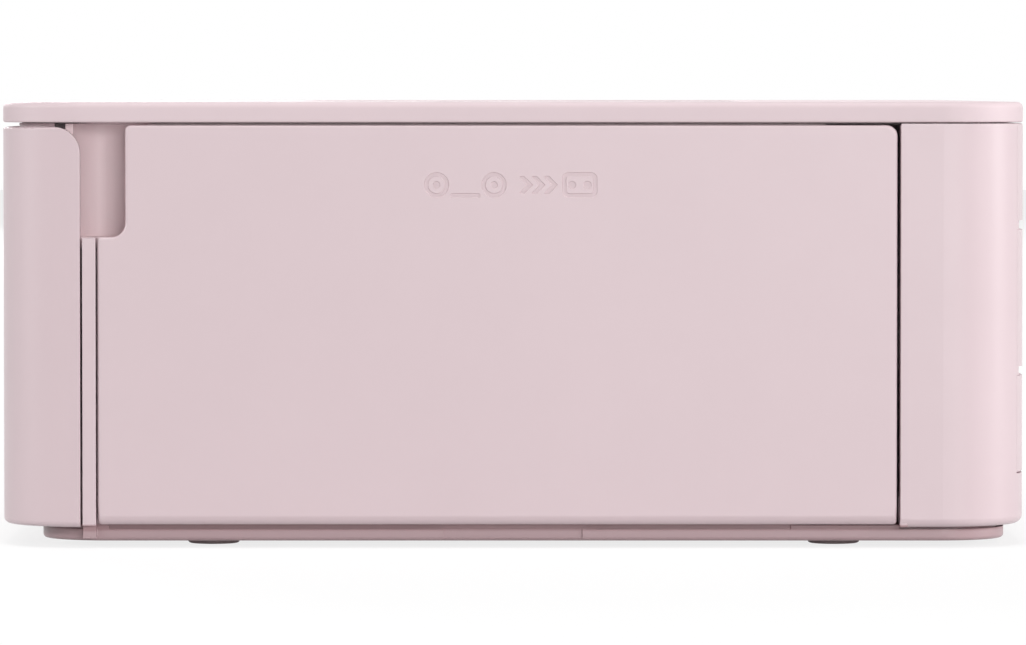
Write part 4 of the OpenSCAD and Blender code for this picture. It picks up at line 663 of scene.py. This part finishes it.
pencil = [(-1.1, -0.6), (-0.6, -0.7), (1.3, 1.2), (0.8, 1.7), (-1.1, -0.1)]
returnTip = [(-2.0, 1.2), (-1.0, 0.4), (-1.0, 2.0)]
buttonMarks = {
    "button_power": [[arcBand(1.25, 1.65, 120, 420)], [bar(0.4, 1.9, 0, 1.0)]],
    "button_edit": [[bar(2.6, 0.4, 0, -1.2)], [roundedLoop(pencil, 0.1, 3)]],
    "button_menu": [[bar(2.8, 0.4, 0, 1.0)], [bar(2.8, 0.4)], [bar(2.8, 0.4, 0, -1.0)]],
    "button_zoom_out": [[bar(2.6, 0.5)]],
    "button_zoom_in": [[plusLoop(1.3, 0.25)]],
    "button_up": arrowMark(90),
    "button_down": arrowMark(270),
    "button_left": arrowMark(180),
    "button_right": arrowMark(0),
    "button_ok": [[circleLoop((0, 0), 2.2, 48), circleLoop((0, 0), 1.8, 48)]],
    "button_back": [[arcBand(1.0, 1.4, -90, 90)], [bar(1.6, 0.4, -0.8, 1.2)], [bar(1.6, 0.4, -0.8, -1.2)],
                    [roundedLoop(returnTip, 0.08, 3)]],
    "button_print": [[boxLoop(-2.6, 2.6, -1.2, 1.2, 0.4, 4), boxLoop(-2.1, 2.1, -0.7, 0.7, 0.2, 4)],
                     [boxLoop(-1.6, 1.6, 1.5, 3.0, 0.2, 4)], [boxLoop(-1.6, 1.6, -3.0, -1.5, 0.2, 4)]],
}

makeDoorPieces()
makeBayEnd()
makeTopCover()
for name, (at, size) in keyPlaces.items():
    makeButton(name, np.array(at, float), size, buttonMarks[name])
print("stage: new pieces made")


# CAD nodes keep their shape and get a finish and softened edges

edgeRounds = {"shell_pink": 0.35, "key_pink": 0.15, "inner_pink": 0.3, "acetal": 0.12, "cassette_black": 0.25,
              "sheet_steel": 0.1, "zinc_steel": 0.1}
edgeFinish = {"weld": 1e-6, "segments": 3, "angleDeg": 35}
nodeSlots = {part["node"]: part["material_slot"] for part in frame["record"]["subparts"]}


def softenEdges(obj, width):
    # edges sharper than the angle get a round of the given width, after doubles are merged
    weld = obj.modifiers.new("weld", "WELD")
    weld.merge_threshold = edgeFinish["weld"]
    bevel = obj.modifiers.new("bevel", "BEVEL")
    bevel.width = width
    bevel.segments = edgeFinish["segments"]
    bevel.limit_method = "ANGLE"
    bevel.angle_limit = math.radians(edgeFinish["angleDeg"])
    normals = obj.modifiers.new("normals", "WEIGHTED_NORMAL")
    normals.keep_sharp = True


for name, obj in nodes.items():
    slot = nodeSlots[name]
    if name in ("ink_door", "top_cover") or name in keyPlaces:
        continue
    obj.data.materials.clear()
    obj.data.materials.append(materials[ownMaterials.get(name, slotMaterials[slot])])
    if slot in edgeRounds:
        softenEdges(obj, edgeRounds[slot] * mm)
print("stage: CAD nodes finished")


# Studio and camera

studio = {
    "skyStrength": 0.3, "skyColor": (1, 0.985, 0.985),
    "lamps": {
        "lowRear": {"at": (1.72, 0.45, 0.18), "power": 16.6, "size": 0.9},
        "top": {"at": (0.3, 0.0, 1.5), "power": 7.0, "size": 0.35},
        "leftStrip": {"at": (0.25, -1.4, 0.4), "power": 6.1, "size": 0.25},
        "rearCorner": {"at": (0.75, 1.15, 0.3), "power": 1.5, "size": 0.22},
        "rearStrip": {"at": (0.15, 1.4, 0.3), "power": 7.6, "size": 0.2},
        "back": {"at": (-1.6, -0.5, 0.7), "power": 13.0, "size": 0.8},
    },
    "floorGlow": 0.80, "floorColor": (0.55, 0.55, 0.55), "seenFloorColor": (0.22, 0.22, 0.22),
    "floorHalf": 3.0,
}
cameraSet = {"distanceX": 0.9411, "height": 0.059, "tiltDeg": 2.01, "lensMm": 231.4, "sensorMm": 36,
             "nearest": 0.05}


def seenRays(tree):
    # 1 for camera, glossy and transmission rays, 0 for the light that a surface scatters
    path = tree.nodes.new("ShaderNodeLightPath")
    first = tree.nodes.new("ShaderNodeMath")
    first.operation = "MAXIMUM"
    both = tree.nodes.new("ShaderNodeMath")
    both.operation = "MAXIMUM"
    tree.links.new(path.outputs["Is Camera Ray"], first.inputs[0])
    tree.links.new(path.outputs["Is Glossy Ray"], first.inputs[1])
    tree.links.new(first.outputs[0], both.inputs[0])
    tree.links.new(path.outputs["Is Transmission Ray"], both.inputs[1])
    return both.outputs[0]


def makeWorld():
    # a dim sky lights the scene, and plain white is what the camera and reflections see
    world = bpy.data.worlds.new("studio")
    bpy.context.scene.world = world
    world.use_nodes = True
    tree = world.node_tree
    tree.nodes.clear()
    sky = tree.nodes.new("ShaderNodeBackground")
    sky.inputs["Color"].default_value = (*studio["skyColor"], 1)
    sky.inputs["Strength"].default_value = studio["skyStrength"]
    white = tree.nodes.new("ShaderNodeBackground")
    white.inputs["Color"].default_value = (1, 1, 1, 1)
    white.inputs["Strength"].default_value = 1
    mix = tree.nodes.new("ShaderNodeMixShader")
    out = tree.nodes.new("ShaderNodeOutputWorld")
    tree.links.new(seenRays(tree), mix.inputs["Fac"])
    tree.links.new(sky.outputs[0], mix.inputs[1])
    tree.links.new(white.outputs[0], mix.inputs[2])
    tree.links.new(mix.outputs[0], out.inputs["Surface"])


def makeFloor():
    # scattered light meets a grey card; seen rays meet a darker card plus a glow, which leaves the shadow
    half = studio["floorHalf"]
    mesh = bpy.data.meshes.new("floor")
    corners = [(-half, -half, 0), (half, -half, 0), (half, half, 0), (-half, half, 0)]
    mesh.from_pydata(corners, [], [(0, 1, 2, 3)])
    floor = bpy.data.objects.new("floor", mesh)
    bpy.context.scene.collection.objects.link(floor)
    material = bpy.data.materials.new("floorWhite")
    material.use_nodes = True
    tree = material.node_tree
    tree.nodes.clear()
    card = tree.nodes.new("ShaderNodeBsdfDiffuse")
    card.inputs["Color"].default_value = (*studio["floorColor"], 1)
    seenCard = tree.nodes.new("ShaderNodeBsdfDiffuse")
    seenCard.inputs["Color"].default_value = (*studio["seenFloorColor"], 1)
    glow = tree.nodes.new("ShaderNodeEmission")
    glow.inputs["Strength"].default_value = studio["floorGlow"]
    shown = tree.nodes.new("ShaderNodeAddShader")
    mix = tree.nodes.new("ShaderNodeMixShader")
    out = tree.nodes.new("ShaderNodeOutputMaterial")
    tree.links.new(seenCard.outputs[0], shown.inputs[0])
    tree.links.new(glow.outputs[0], shown.inputs[1])
    tree.links.new(seenRays(tree), mix.inputs["Fac"])
    tree.links.new(card.outputs[0], mix.inputs[1])
    tree.links.new(shown.outputs[0], mix.inputs[2])
    tree.links.new(mix.outputs[0], out.inputs["Surface"])
    mesh.materials.append(material)


def softLamp(name, place, power, size):
    # a square lamp turned to the origin: tilt = atan2(floor distance, height), heading = atan2(y, x) + 90 deg
    lamp = bpy.data.lights.new(name, "AREA")
    lamp.energy = power
    lamp.size = size
    obj = bpy.data.objects.new(name, lamp)
    bpy.context.scene.collection.objects.link(obj)
    x, y, z = place
    obj.location = place
    flat = math.hypot(x, y)
    obj.rotation_euler = (math.atan2(flat, z), 0, math.atan2(y, x) + math.pi / 2)


def makeCamera():
    # level with the cover, looking along -X and tilted down
    data = bpy.data.cameras.new("camera")
    data.lens = cameraSet["lensMm"]
    data.sensor_width = cameraSet["sensorMm"]
    data.clip_start = cameraSet["nearest"]
    camera = bpy.data.objects.new("camera", data)
    bpy.context.scene.collection.objects.link(camera)
    camera.location = (cameraSet["distanceX"], 0, cameraSet["height"])
    camera.rotation_euler = (math.radians(90 - cameraSet["tiltDeg"]), 0, math.radians(90))
    bpy.context.scene.camera = camera


makeWorld()
makeFloor()
for name, lamp in studio["lamps"].items():
    softLamp(name, lamp["at"], lamp["power"], lamp["size"])
makeCamera()
bpy.context.scene.view_settings.view_transform = "Standard"
print("stage: studio ready")
